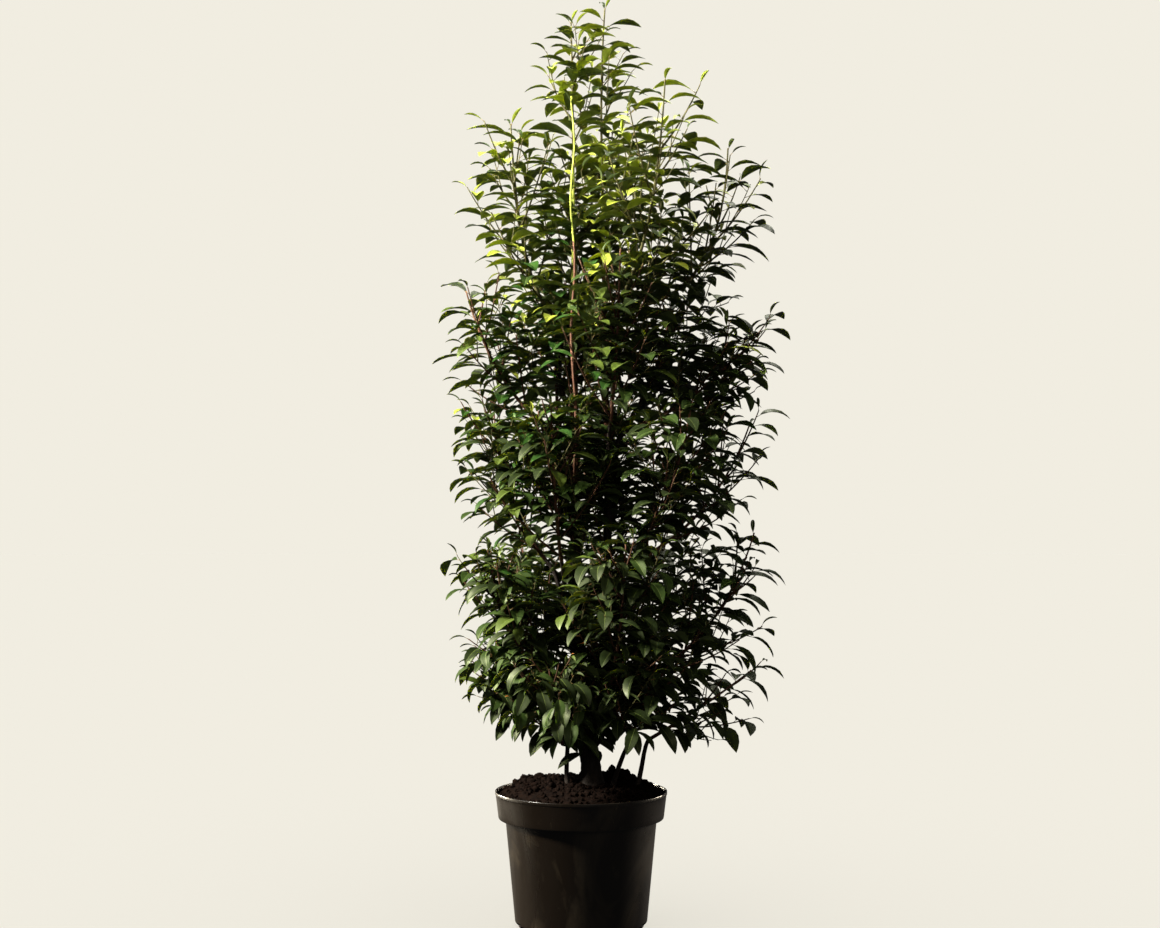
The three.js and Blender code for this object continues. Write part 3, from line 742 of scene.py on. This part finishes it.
def grow_shoots(mass, random):
    """The stem, its side twigs and their sprigs."""
    stem = Record(path=mass.stem, form=mass.form, turn=random() * TURN, age=0.25)
    shoots = [stem]
    shoot_places.keep(mass.stem.at(1))
    for i in range(mass.twigs):
        share = mix(TWIG.first, TWIG.last, (i + random() * 0.6) / mass.twigs)
        wanted = mass.longest * (1 - 0.62 * share) * mix(0.6, 1.1, random())
        twig = sprout(mass, stem, TWIG, share, i * GOLDEN + stem.turn, random, wanted)
        if twig is None:
            continue
        shoots.append(twig)
        for j in range(SPRIG.count):
            at = mix(SPRIG.first, SPRIG.last, (j + random() * 0.7) / SPRIG.count)
            length = SPRIG.longest * mix(0.65, 1.15, random())
            sprig = sprout(mass, twig, SPRIG, at, random() * TURN, random, length)
            if sprig is not None:
                shoots.append(sprig)
    return shoots


def grow_leaf(mass, shoot, share, angle, random, kind):
    """Tries a few leaves at one place and keeps the first that has room."""
    path = shoot.path
    tangent = path.tangent(share)
    base = path.at(share)
    for attempt in range(LEAF.tries):
        turn = angle + (random() - 0.5) * 0.6 + attempt * 0.9
        forward = mix(*LEAF.forward, share * share) * mix(*LEAF.lean, random()) + kind.forward
        aim = path.side(share, turn) + tangent * forward + mass.outward * (LEAF.outward * share)
        aim.z = aim.z * mass.level + LEAF.rise - mass.hang * 0.6
        aim.normalize()
        if abs(aim.z) > kind.steepest:
            continue
        scale = mass.scale * mix(*LEAF.size, random()) * kind.size
        scale *= mix(1, 0.8, attempt / LEAF.tries)
        across = UP.cross(aim).normalized()
        above = aim.cross(across)
        roll = (random() - 0.5) * mass.roll
        c, s = math.cos(roll), math.sin(roll)
        across, above = across * c + above * s, above * c - across * s
        lift = mix(*LEAF.lift, random())
        fall = mix(*LEAF.fall, random()) + mass.hang * 0.3
        length = LEAF.length * scale
        stalk = LEAF.petiole * mix(*LEAF.stalk, random()) * kind.stalk
        root = base + (aim * math.cos(lift) + above * math.sin(lift)) * stalk
        ends = [blade_reach(lift, fall, upto) for upto in (1, 0.5)]
        tip, middle = (root + aim * (x * length) + above * (z * length) for x, z in ends)
        if any(hides_leader(point) or not in_space(mass, point) for point in (tip, middle)):
            continue
        if leaf_places.crowded(middle, mass.open * mass.scale):
            continue
        leaf_places.keep(middle)
        width = LEAF.width * scale * mass.slim * mix(*LEAF.slim, random()) * kind.width
        fold = mix(*LEAF.fold, random()) + kind.fold
        return dict(
            base=base, root=root, aim=aim, across=across, above=above, length=length, width=width, lift=lift,
            fall=fall, fold=fold, twist=(random() - 0.5) * LEAF.twist, middle=middle, wave=random() * TURN,
        )
    return None


def leaf_age_and_light(shoot, share, leaf, random):
    """Which colour a leaf takes, from its age and painted light: young, and painted lit, at the top; young at
    shoots' ends; painted lit on the left and painted shade on the right; high up, painted lit or shaded by
    chance.
    """
    x, y, z = leaf["middle"]
    height = z / CROWN.height
    # painted light on the left and painted shade on the right, dealt as younger or older colour classes
    painted_side_light = mix(read(PAINTED_SIDE_LIGHT_LOW, x), read(PAINTED_SIDE_LIGHT_HIGH, x), min(1, height * 1.3))
    # height stands both for young growth and for painted light falling from above
    youth_and_light = height * YOUTH_AND_LIGHT.height + height * height * YOUTH_AND_LIGHT.crown
    youth_and_light = youth_and_light + math.hypot(x - CROWN.x, y) / CROWN.radius * YOUTH_AND_LIGHT.outer + painted_side_light
    youth_and_light += share * YOUTH_AND_LIGHT.end + shoot.age * YOUTH_AND_LIGHT.shoot + shoot.luck
    # high up, chance paints a leaf lit or in shade, as a younger or older colour class
    chance = random()
    part = YOUTH_AND_LIGHT.bright if chance > YOUTH_AND_LIGHT.shaded_share else YOUTH_AND_LIGHT.shaded
    youth_and_light += (chance - 0.5) * YOUTH_AND_LIGHT.chance + part * height * height
    age = min(YOUTH_AND_LIGHT.ages - 1, max(0, int((YOUTH_AND_LIGHT.youngest - youth_and_light) * YOUTH_AND_LIGHT.ages)))
    away = ((x - DEEP_GREEN.x) / DEEP_GREEN.wide) ** 2 + ((z - DEEP_GREEN.z) / DEEP_GREEN.tall) ** 2
    dealt = sum(c * weight for c, weight in zip((x, y, z), DEEP_GREEN.deal)) % 1
    deep = y < DEEP_GREEN.back and dealt < DEEP_GREEN.share * math.exp(-away)
    return DEEP if deep and age in (1, 2, 3) else age


def grow_leaves(mass, shoots, random):
    leaves = []

    def add(share, age_share, number, kind):
        leaf = grow_leaf(mass, shoot, share, shoot.turn + number * GOLDEN, random, kind)
        if leaf:
            # the colour class holds the leaf's age together with its painted light and shade
            leaf["age"] = leaf_age_and_light(shoot, age_share, leaf, random)
            leaves.append(leaf)

    for shoot in shoots:
        form = shoot.form
        shoot.luck = (random() - 0.5) * 0.3
        room = shoot.path.length * (1 - form.leaves_from)
        count = max(3, round(room / form.internode))
        for i in range(count):
            share = mix(form.leaves_from, 0.95, (i + (random() - 0.5) * 0.4) / (count - 0.5))
            share = min(max(share, form.leaves_from * 0.6), 0.97)
            add(share, share, i, USUAL)
        for i in range(2):
            add(0.985, 1, count + i, SMALL)
    return leaves


def leaf_faces():
    """The faces of one leaf: a top and an underside that share their outline, and the ribs' strip."""
    rows, columns = LEAF_TOP.shape
    root, tip = 0, 1
    under = LEAF_TOP.copy()
    under[:, 1:-1] = LEAF_BELOW
    quads, tris, quad_kind, tri_kind = [], [], [], []
    for grid, below in ((LEAF_TOP, False), (under, True)):
        for c in range(columns - 1):
            kind = 2 if below else (1 if c == columns // 2 - 1 else 0)
            ends = [(root, grid[0, c + 1], grid[0, c]), (tip, grid[-1, c], grid[-1, c + 1])]
            tris += [t[::-1] if below else t for t in ends]
            tri_kind += [kind] * 2
            for r in range(rows - 1):
                quad = (grid[r, c], grid[r, c + 1], grid[r + 1, c + 1], grid[r + 1, c])
                quads.append(quad[::-1] if below else quad)
                quad_kind.append(kind)
    return np.array(quads), np.array(tris), np.array(quad_kind), np.array(tri_kind)


def columns_of(leaves, keys):
    return (np.array([leaf[key] for leaf in leaves], float) for key in keys.split())


def add_leaves(batch, leaves):
    """All of a piece's leaves at once, with their stalks."""
    count = len(leaves)
    aim, across, above, root, base = columns_of(leaves, "aim across above root base")
    numbers = columns_of(leaves, "length width lift fall fold twist wave")
    length, width, lift, fall, fold, twist, wave = (n[:, None] for n in numbers)
    stations = np.array(STATIONS)
    middles, spans = (stations[1:] + stations[:-1]) / 2, np.diff(stations)
    slope = lift * (1 - middles) - fall * middles
    start = np.zeros((count, 1))
    steps = (np.cumsum(turned(slope) * spans, axis=1) for turned in (np.cos, np.sin))
    along, rise = (np.concatenate([start, reached], axis=1) * length for reached in steps)
    angle = lift * (1 - stations) - fall * stations
    centre = root[:, None] + aim[:, None] * along[..., None] + above[:, None] * rise[..., None]
    normal = above[:, None] * np.cos(angle)[..., None] - aim[:, None] * np.sin(angle)[..., None]
    turn = (twist * (stations - 0.25))[..., None]
    sideways = across[:, None] * np.cos(turn) + normal * np.sin(turn)
    normal = normal * np.cos(turn) - across[:, None] * np.sin(turn)
    half = width / 2 * np.array(HALF_WIDTHS)
    rows = slice(1, -1)
    columns = np.array(COLUMNS)[None, None]
    rib = np.array([0, 0, -1, 1, 0, 0])[None, None] * LEAF.rib * (1.25 - stations[rows])[None, :, None]
    out = columns * half[:, rows, None] + rib
    curl = np.sin(stations[rows] * 9 + wave)[..., None] * np.sign(columns) * np.abs(columns) * LEAF.curl
    height = np.abs(out) * (fold[..., None] * (1.1 - 0.45 * np.abs(columns)) + curl)
    blade = centre[:, rows, None] + sideways[:, rows, None] * out[..., None]
    blade = blade + normal[:, rows, None] * height[..., None]
    below = blade[:, :, 1:-1] - normal[:, rows, None] * LEAF.thickness
    points = np.concatenate(
        [centre[:, :1], centre[:, -1:], blade.reshape(count, -1, 3), below.reshape(count, -1, 3)], axis=1
    )
    quads, tris, quad_kind, tri_kind = leaf_faces()
    offsets = (np.arange(count) * points.shape[1])[:, None, None]
    age = np.array([leaf["age"] for leaf in leaves])
    finish = np.stack([age, RIB + (age > 1), UNDER + (age > 0)], axis=1)
    finishes = (finish[:, kind].ravel() for kind in (quad_kind, tri_kind))
    batch.add(points, quads + offsets, tris + offsets, *finishes)
    add_stalks(batch, base, root, across, above)


def add_stalks(batch, base, root, across, above):
    """A three-sided stalk from the shoot to each blade."""
    ring = spokes(3, across, above)
    reach = root + (root - base) * 0.35
    points = np.concatenate([base[:, None] + ring * 0.85, reach[:, None] + ring * 0.4], axis=1)
    faces = [(0, 1, 4, 3), (1, 2, 5, 4), (2, 0, 3, 5)]
    offsets = (np.arange(len(base)) * 6)[:, None, None]
    batch.add(points, np.array(faces) + offsets, np.array([(0, 2, 1), (3, 4, 5)]) + offsets, STALK)


def sharpen_outline(mesh, count):
    """Marks each leaf's outline sharp, so that its top and underside are lit apart."""
    edge = np.zeros(LEAF_POINTS, bool)
    edge[:2] = edge[LEAF_TOP[:, 0]] = edge[LEAF_TOP[:, -1]] = True
    flags = np.zeros(len(mesh.vertices), bool)
    flags[: LEAF_POINTS * count] = np.tile(edge, count)
    pairs = np.zeros(len(mesh.edges) * 2, np.int32)
    mesh.edges.foreach_get("vertices", pairs)
    sharp = flags[pairs].reshape(-1, 2).all(axis=1)
    mesh.attributes.new("sharp_edge", "BOOLEAN", "EDGE").data.foreach_set("value", sharp)


# The limbs, with bark in relief
for leader in LEADERS.values():
    leader.line = Path(through(leader.path), 240)

for number, (name, leader) in enumerate(LEADERS.items()):
    batch, line = Batch(), leader.line
    taper = limb_radius(line.length, leader.foot, leader.tip, leader.flare, leader.flare_height, 0.8)
    tube(batch, line, taper, leader.sides, leader.rings, bark_relief(0.9, 11 + number), changes=(0.42, 0.8))
    made = batch.make(f"bark_{name}", [BARK, YOUNG_BARK, SHOOT_BARK])
    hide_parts(name)
    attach(made, "root")

entries = [(tier, *row) for tier, table in MASSES.items() for row in table]
masses = [lay_out(i, *entry) for i, entry in enumerate(entries)]
masses += [lay_out_top(*row) for row in TOPS] + [lay_out_along(*row) for row in ALONG] + [lay_out_shoot()]
for mass in masses:
    rooms = [mass.spread * mix(1, mass.tip_spread, i / 12) for i in range(13)]
    mass.near = [(mass.stem.at(i / 12), room) for i, room in enumerate(rooms)]

for tier in TIERS:
    batch = Batch()
    members = [m for m in masses if m.tier == tier and m.bough]
    for number, mass in enumerate(members):
        length, radius = mass.bough.length, mass.bough_radius
        taper = limb_radius(length, radius, BOUGH_TIP, 0 if mass.rooted else 0.55 * radius, 10)
        tube(batch, mass.bough, taper, 18, int(length / 3), bark_relief(0.8, 40 + number))
    made = batch.make(f"bark_boughs_{tier}", [BARK])
    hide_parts(*[f"bough_{m.name}" for m in members])
    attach(made, "root")

# The twigs and leaves that grow on from the boughs and from the leaders' tips
random = seeded(SEED)
for mass in masses:
    mass.shoots = grow_shoots(mass, random)
for mass in masses:
    mass.leaves = grow_leaves(mass, mass.shoots, random)

shoot = masses[-1].shoots[0]
batch = Batch()
taper = lambda share: mix(SHOOT.base, SHOOT.tip, share)
tube(batch, shoot.path, taper, 12, 240, bark_relief(0.5, 61), changes=(0.64,))
made = batch.make("bark_front_shoot", [YOUNG_BARK, SHOOT_BARK])
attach(made, "root")

# The few dead leaves that show at the front, shrunk, by their place across and up the crown
DEAD_LENGTH, DEAD_WIDTH = 0.32, 0.5
DEAD_PLACES = [(-10, 251), (-133, 155), (-72, 111), (-28, 262), (6, 246)]
front = [leaf for mass in masses for leaf in mass.leaves if leaf["middle"].y < -120]
for x, z in DEAD_PLACES:
    nearest = min(front, key=lambda leaf: math.hypot(leaf["middle"].x - x, leaf["middle"].z - z))
    nearest["age"] = DEAD
    nearest["length"] *= DEAD_LENGTH
    nearest["width"] *= DEAD_WIDTH

for tier in TIERS:
    members = [m for m in masses if m.tier == tier]
    twigs, foliage = Batch(), Batch()
    for mass in members:
        green = mass.top > GREEN_STEMS_ABOVE
        for shoot in mass.shoots:
            form = shoot.form
            if form is LEADER or form is SHOOT:
                continue
            kind = (2 if green else 0) if form is STEM else (2 if form is SPRIG or green else 1)
            base = 2.2 if form is STEM and mass.bough is None else form.base
            taper = lambda share: mix(base, form.tip, share)
            tube(twigs, shoot.path, taper, form.sides, form.rings, finish=kind)
    made = twigs.make(f"twigs_{tier}", TWIG_SET)
    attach(made, "root")
    leaves = [leaf for mass in members for leaf in mass.leaves]
    add_leaves(foliage, leaves)
    made = foliage.make(f"foliage_{tier}", LEAF_SET)
    sharpen_outline(made.data, len(leaves))
    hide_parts(*[f"leaves_{m.name}" for m in members if m.form is STEM])
    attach(made, "root")

# The pot: the source's profile with its corners rounded, and its drain slots cut
POT = Record(
    height=233, rim=150, rim_foot=144, band=47, body_top=132, body_foot=115, foot=109,
    foot_height=8, hollow_height=4, hollow=(38, 94), wall=2.5, segments=192,
    slots=8, slot_width=15, slot_depth=18,
)


def rounded(profile, steps=4):
    """A profile of (radius, height, rounding) with each corner turned into a short curve."""
    points = []
    for i, (radius, height, bevel) in enumerate(profile):
        here = np.array([radius, height], float)
        if not bevel or i in (0, len(profile) - 1):
            points.append(here)
            continue
        before, after = (np.array(profile[j][:2], float) for j in (i - 1, i + 1))
        a = here + (before - here) / np.linalg.norm(before - here) * bevel
        b = here + (after - here) / np.linalg.norm(after - here) * bevel
        for t in np.linspace(0, 1, steps + 1):
            points.append((1 - t) ** 2 * a + 2 * t * (1 - t) * here + t**2 * b)
    return points


def lathe(batch, profile, segments):
    """A closed shape turned round the Z axis; the profile runs from the axis to the axis."""
    angles = np.arange(segments) * TURN / segments
    rings = np.array(profile[1:-1])
    radii = rings[:, :1]
    heights = np.broadcast_to(rings[:, 1:], (len(rings), segments))
    points = np.stack([radii * np.cos(angles), radii * np.sin(angles), heights], axis=-1)
    ends = np.array([(0, 0, profile[0][1]), (0, 0, profile[-1][1])])
    batch.add(np.concatenate([points.reshape(-1, 3), ends]), *ring_faces(len(rings), segments))


def pot_profile():
    p = POT
    rim_foot = p.height - p.band
    floor = p.foot_height + p.wall
    inner, outer = p.hollow
    h = p.hollow_height
    outside = [
        (0, 0, 0), (inner, 0, 0), (inner + h, h, 1), (outer, h, 1), (outer + h, 0, 0.6), (p.foot, 0, 1.2),
        (p.foot + 1, p.foot_height, 0.5), (p.body_foot, p.foot_height, 1.6),
        (p.body_top, rim_foot, 1.2), (p.rim_foot, rim_foot, 2.2),
        (p.rim - 0.9, p.height - p.wall - 3.2, 1.2), (p.rim, p.height - p.wall - 2.4, 0.4),
        (p.rim, p.height, 0.9),
    ]
    inside = [
        (p.rim - p.wall, p.height, 0.8), (p.rim_foot - p.wall, rim_foot + p.wall, 1),
        (p.body_top - p.wall, rim_foot + p.wall, 1), (p.body_foot - p.wall, floor, 1),
        (0, floor, 0),
    ]
    return rounded(outside + inside)


def dense(profile, longest):
    """Splits long straight runs of a profile, so that relief and shading have points to follow."""
    points = [profile[0]]
    for a, b in zip(profile, profile[1:]):
        pieces = max(1, int(np.linalg.norm(b - a) / longest)) if a[0] > 100 and b[0] > 100 else 1
        points += [a + (b - a) * (i + 1) / pieces for i in range(pieces)]
    return points


batch = Batch()
lathe(batch, dense(pot_profile(), 7), POT.segments)
pot = batch.make("nursery_pot", [POT_FINISH], lift=0)
cutters = Batch()
for slot in range(POT.slots):
    angle = TURN * (slot + 0.5) / POT.slots
    out, across = np.array([math.cos(angle), math.sin(angle)]), np.array([-math.sin(angle), math.cos(angle)])
    corners = []
    for z in (-12, 12):
        for u, v in ((-1, -1), (1, -1), (1, 1), (-1, 1)):
            flat = out * (POT.foot + u * POT.slot_depth / 2) + across * (v * POT.slot_width / 2)
            corners.append((*flat, z))
    cutters.add(corners, [(3, 2, 1, 0), (4, 5, 6, 7), (0, 1, 5, 4), (1, 2, 6, 5), (2, 3, 7, 6), (3, 0, 4, 7)])
cutter = cutters.make("slot_cutter", [], lift=0)
cut = pot.modifiers.new("slots", "BOOLEAN")
cut.operation, cut.object, cut.solver = "DIFFERENCE", cutter, "EXACT"
bpy.context.view_layer.update()
carved = bpy.data.meshes.new_from_object(pot.evaluated_get(bpy.context.evaluated_depsgraph_get()))
pot.modifiers.clear()
pot.data = carved
bpy.data.objects.remove(cutter)
carved.set_sharp_from_angle(angle=math.radians(40))
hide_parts("pot")
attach(pot, "root")

# The potting mix: a crumbly surface with loose clods, inside the pot
SURFACE = Record(level=242, plateau=106, edge_level=224, rings=110, segments=300)
MOUND = Record(x=62, y=58, radius=27, height=19)
HEAP = Record(x=-62, y=34, radius=56, height=7)
# The mix rises a little round the trunk, and no clods lie on its foot
COLLAR = Record(x=19, radius=42, height=5, clear=34)
CLODS = 900
# Where the mix meets the rim band's inner side
LEDGE = POT.height - POT.band + POT.wall
SLOPE = (POT.rim - POT.rim_foot) / POT.band
EDGE = POT.rim_foot - POT.wall - 0.5 + SLOPE * (SURFACE.edge_level - LEDGE)


def surface_height(x, y):
    """How high the potting mix stands at each place."""
    radius = np.hypot(x, y)
    inner, outer = SURFACE.plateau, EDGE
    middle = mix(outer, inner, 0.45)
    level, low = SURFACE.level, SURFACE.edge_level
    height = np.interp(radius, [0, inner, middle, outer], [level, level, mix(low, level, 0.62), low])
    fade = np.clip((EDGE - radius) / 9, 0, 1)
    flat = np.stack([x, y, np.zeros_like(x)], axis=-1)
    for size, seed, tall in ((24, 70, 6), (7, 71, 5), (2.6, 72, 2.6)):
        height = height + fade * (grain(flat / size, seed) - 0.5) * tall
    away = np.clip(1 - ((x - MOUND.x) ** 2 + (y - MOUND.y) ** 2) / MOUND.radius ** 2, 0, 1)
    mound = SURFACE.level + MOUND.height * np.sqrt(away) - 3 + grain(flat / 5, 73) * 3 - 40 * (away <= 0)
    collar = np.exp(-((np.hypot(x - COLLAR.x, y) / COLLAR.radius) ** 2))
    heap = np.exp(-((x - HEAP.x) ** 2 + (y - HEAP.y) ** 2) / HEAP.radius ** 2) * fade
    return np.maximum(height, mound) + COLLAR.height * collar + HEAP.height * heap


def height_at(x, y):
    return float(surface_height(np.array([x]), np.array([y]))[0])


# Radius and height of the rings under the edge, just inside the pot
SKIRT = [
    (POT.rim_foot - POT.wall - 0.3, LEDGE + 0.3),
    (POT.body_top - POT.wall - 0.3, LEDGE + 0.3),
    (POT.body_foot - POT.wall - 0.3, POT.foot_height + POT.wall + 0.3),
]
count = SURFACE.segments
radii = EDGE * (np.arange(1, SURFACE.rings + 1) / SURFACE.rings) ** 0.8
radii = np.concatenate([radii, [radius for radius, height in SKIRT]])[:, None]
angles = np.arange(count) * TURN / count
x, y = (radii * np.cos(angles)).ravel(), (radii * np.sin(angles)).ravel()
heights = surface_height(x, y)
heights[-3 * count :] = np.repeat([height for radius, height in SKIRT], count)
rings = np.stack([x, y, heights], axis=-1)
centre = np.array([(0, 0, height_at(0.0, 0.0)), (0, 0, SKIRT[-1][1])])
quads, tris = ring_faces(len(radii), count)
batch = Batch()
batch.add(np.concatenate([rings, centre]), quads[:, [0, 3, 2, 1]], tris[:, [0, 2, 1]])
made = batch.make("potting_mix", [SOIL], lift=0)
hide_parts("soil")
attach(made, "root")

ball = bmesh.new()
bmesh.ops.create_icosphere(ball, subdivisions=2, radius=1)
ball_points = np.array([v.co for v in ball.verts])
ball_faces = np.array([[v.index for v in f.verts] for f in ball.faces])
ball.free()
batch = Batch()
rng = np.random.default_rng(SEED)
for number in range(CLODS):
    radius = EDGE * math.sqrt(rng.random()) * 0.97
    angle = rng.random() * TURN
    big = rng.random() < 0.07 and radius < 120
    size = rng.uniform(5, 9) if big else rng.uniform(1.3, 4.2)
    radius = min(radius, EDGE - size * 1.5)
    x, y = radius * math.cos(angle), radius * math.sin(angle)
    if math.hypot(x - COLLAR.x, y) < COLLAR.clear:
        continue
    z = height_at(x, y)
    shape = ball_points * rng.uniform(0.6, 1.25, 3)
    shape = shape * (0.45 + 1.0 * grain(ball_points * 2.1 + number * 7.3, 90))[:, None]
    turn = rng.random() * TURN
    c, s = math.cos(turn), math.sin(turn)
    shape = shape @ np.array([(c, -s, 0), (s, c, 0), (0, 0, 1)])
    batch.add(shape * size + (x, y, z + size * 0.15), tris=ball_faces)
made = batch.make("clods", [SOIL], lift=0)
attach(made, "root")

# The stage: a pale floor in a pale surround, which the camera sees and which throws no light on the plant
PAPER = (0.879, 0.847, 0.753)
FLOOR_SHADE, FLOOR_GLOW = 0.25, 0.75
STAGE_RADIUS = 34


def paper(name, glow, shade):
    f = Finish(name).set(base_color=(*toned(PAPER, shade), 1), roughness=1, specular_ior_level=0)
    return f.set(emission_color=(*PAPER, 1), emission_strength=glow).material


def staged(name, shape, material):
    mesh = bpy.data.meshes.new(name)
    shape.to_mesh(mesh)
    shape.free()
    mesh.materials.append(material)
    made = placed(name, mesh)
    made.visible_diffuse = made.visible_glossy = made.visible_transmission = made.visible_shadow = False
    made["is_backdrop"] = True
    return made


shape = bmesh.new()
bmesh.ops.create_circle(shape, cap_ends=True, segments=64, radius=STAGE_RADIUS)
floor = staged("floor", shape, paper("floor_paper", FLOOR_GLOW, FLOOR_SHADE))
floor.location.z = -0.0005
shape = bmesh.new()
bmesh.ops.create_uvsphere(shape, u_segments=48, v_segments=24, radius=STAGE_RADIUS)
staged("surround", shape, paper("surround_paper", 1, 0))

# Soft studio light: a large key from the upper left, a soft one on the crown's top, faint ones in front, at
# the side and above, two on the pot's edges, and a dim surround. The floor has its own even light, so that it
# stays plain and takes only a soft shadow
WORLD_LIGHT = 0.055
scene = bpy.context.scene
scene.world = bpy.data.worlds.new("studio")
scene.world.use_nodes = True
background = scene.world.node_tree.nodes["Background"]
background.inputs["Color"].default_value = (1, 1, 1, 1)
background.inputs["Strength"].default_value = WORLD_LIGHT
scene.view_settings.view_transform = "Standard"


def lit(name, *pieces):
    """A collection for a lamp that lights only these pieces."""
    made = bpy.data.collections.new(name)
    for piece in pieces:
        made.objects.link(piece)
    return made


plant_only = lit("lit_by_lamps", *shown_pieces())
floor_only, pot_only = lit("lit_by_sky", floor), lit("lit_by_edges", pot)


def lamp(name, place, target, size, power, colour, lit=plant_only):
    data = bpy.data.lights.new(name, "AREA")
    data.shape, data.size, data.energy, data.color = "DISK", size, power, colour
    made = placed(name, data)
    made.location = place
    made.rotation_euler = (Vector(target) - Vector(place)).to_track_quat("-Z", "Y").to_euler()
    made.light_linking.receiver_collection = lit
    return made


lamp("key", (-3.3, -0.75, 3.0), (0.04, 0, 1.0), 0.7, 980, (1, 0.96, 0.84))
lamp("fill", (0.6, -4.2, 1.9), (0.04, 0, 0.8), 2.2, 13, (1, 0.98, 0.95))
lamp("side", (3.0, -2.6, 1.9), (0.1, 0, 0.9), 1.6, 15, (1, 0.9, 0.72))
lamp("top", (0.5, 1.6, 3.6), (0.04, 0, 1.1), 1.4, 70, (1, 0.98, 0.9))
crown_lamp = lamp("crown", (-1.3, -1.3, 2.3), (-0.04, 0, 1.5), 0.7, 12, (1, 0.96, 0.84))
crown_lamp.data.spread = math.radians(44)
lamp("edge", (-3.2, 2.2, 0.6), (0, 0, 0.15), 1.0, 900, (1, 0.9, 0.7), pot_only)
lamp("far_edge", (3.2, 2.2, 0.6), (0, 0, 0.15), 1.0, 210, (1, 0.86, 0.66), pot_only)
sky = placed("sky", bpy.data.lights.new("sky", "SUN"))
sky.data.energy, sky.data.angle = math.pi * (1 - WORLD_LIGHT), math.radians(100)
sky.light_linking.receiver_collection = floor_only

# The camera stands where the photograph was taken from
camera = placed("camera", bpy.data.cameras.new("camera"))
camera.location = (-0.002, -3.0, 0.704)
camera.rotation_euler = (math.radians(90 + 1.88), 0, 0)
camera.data.sensor_width = 36
camera.data.lens = 53.04
scene.camera = camera
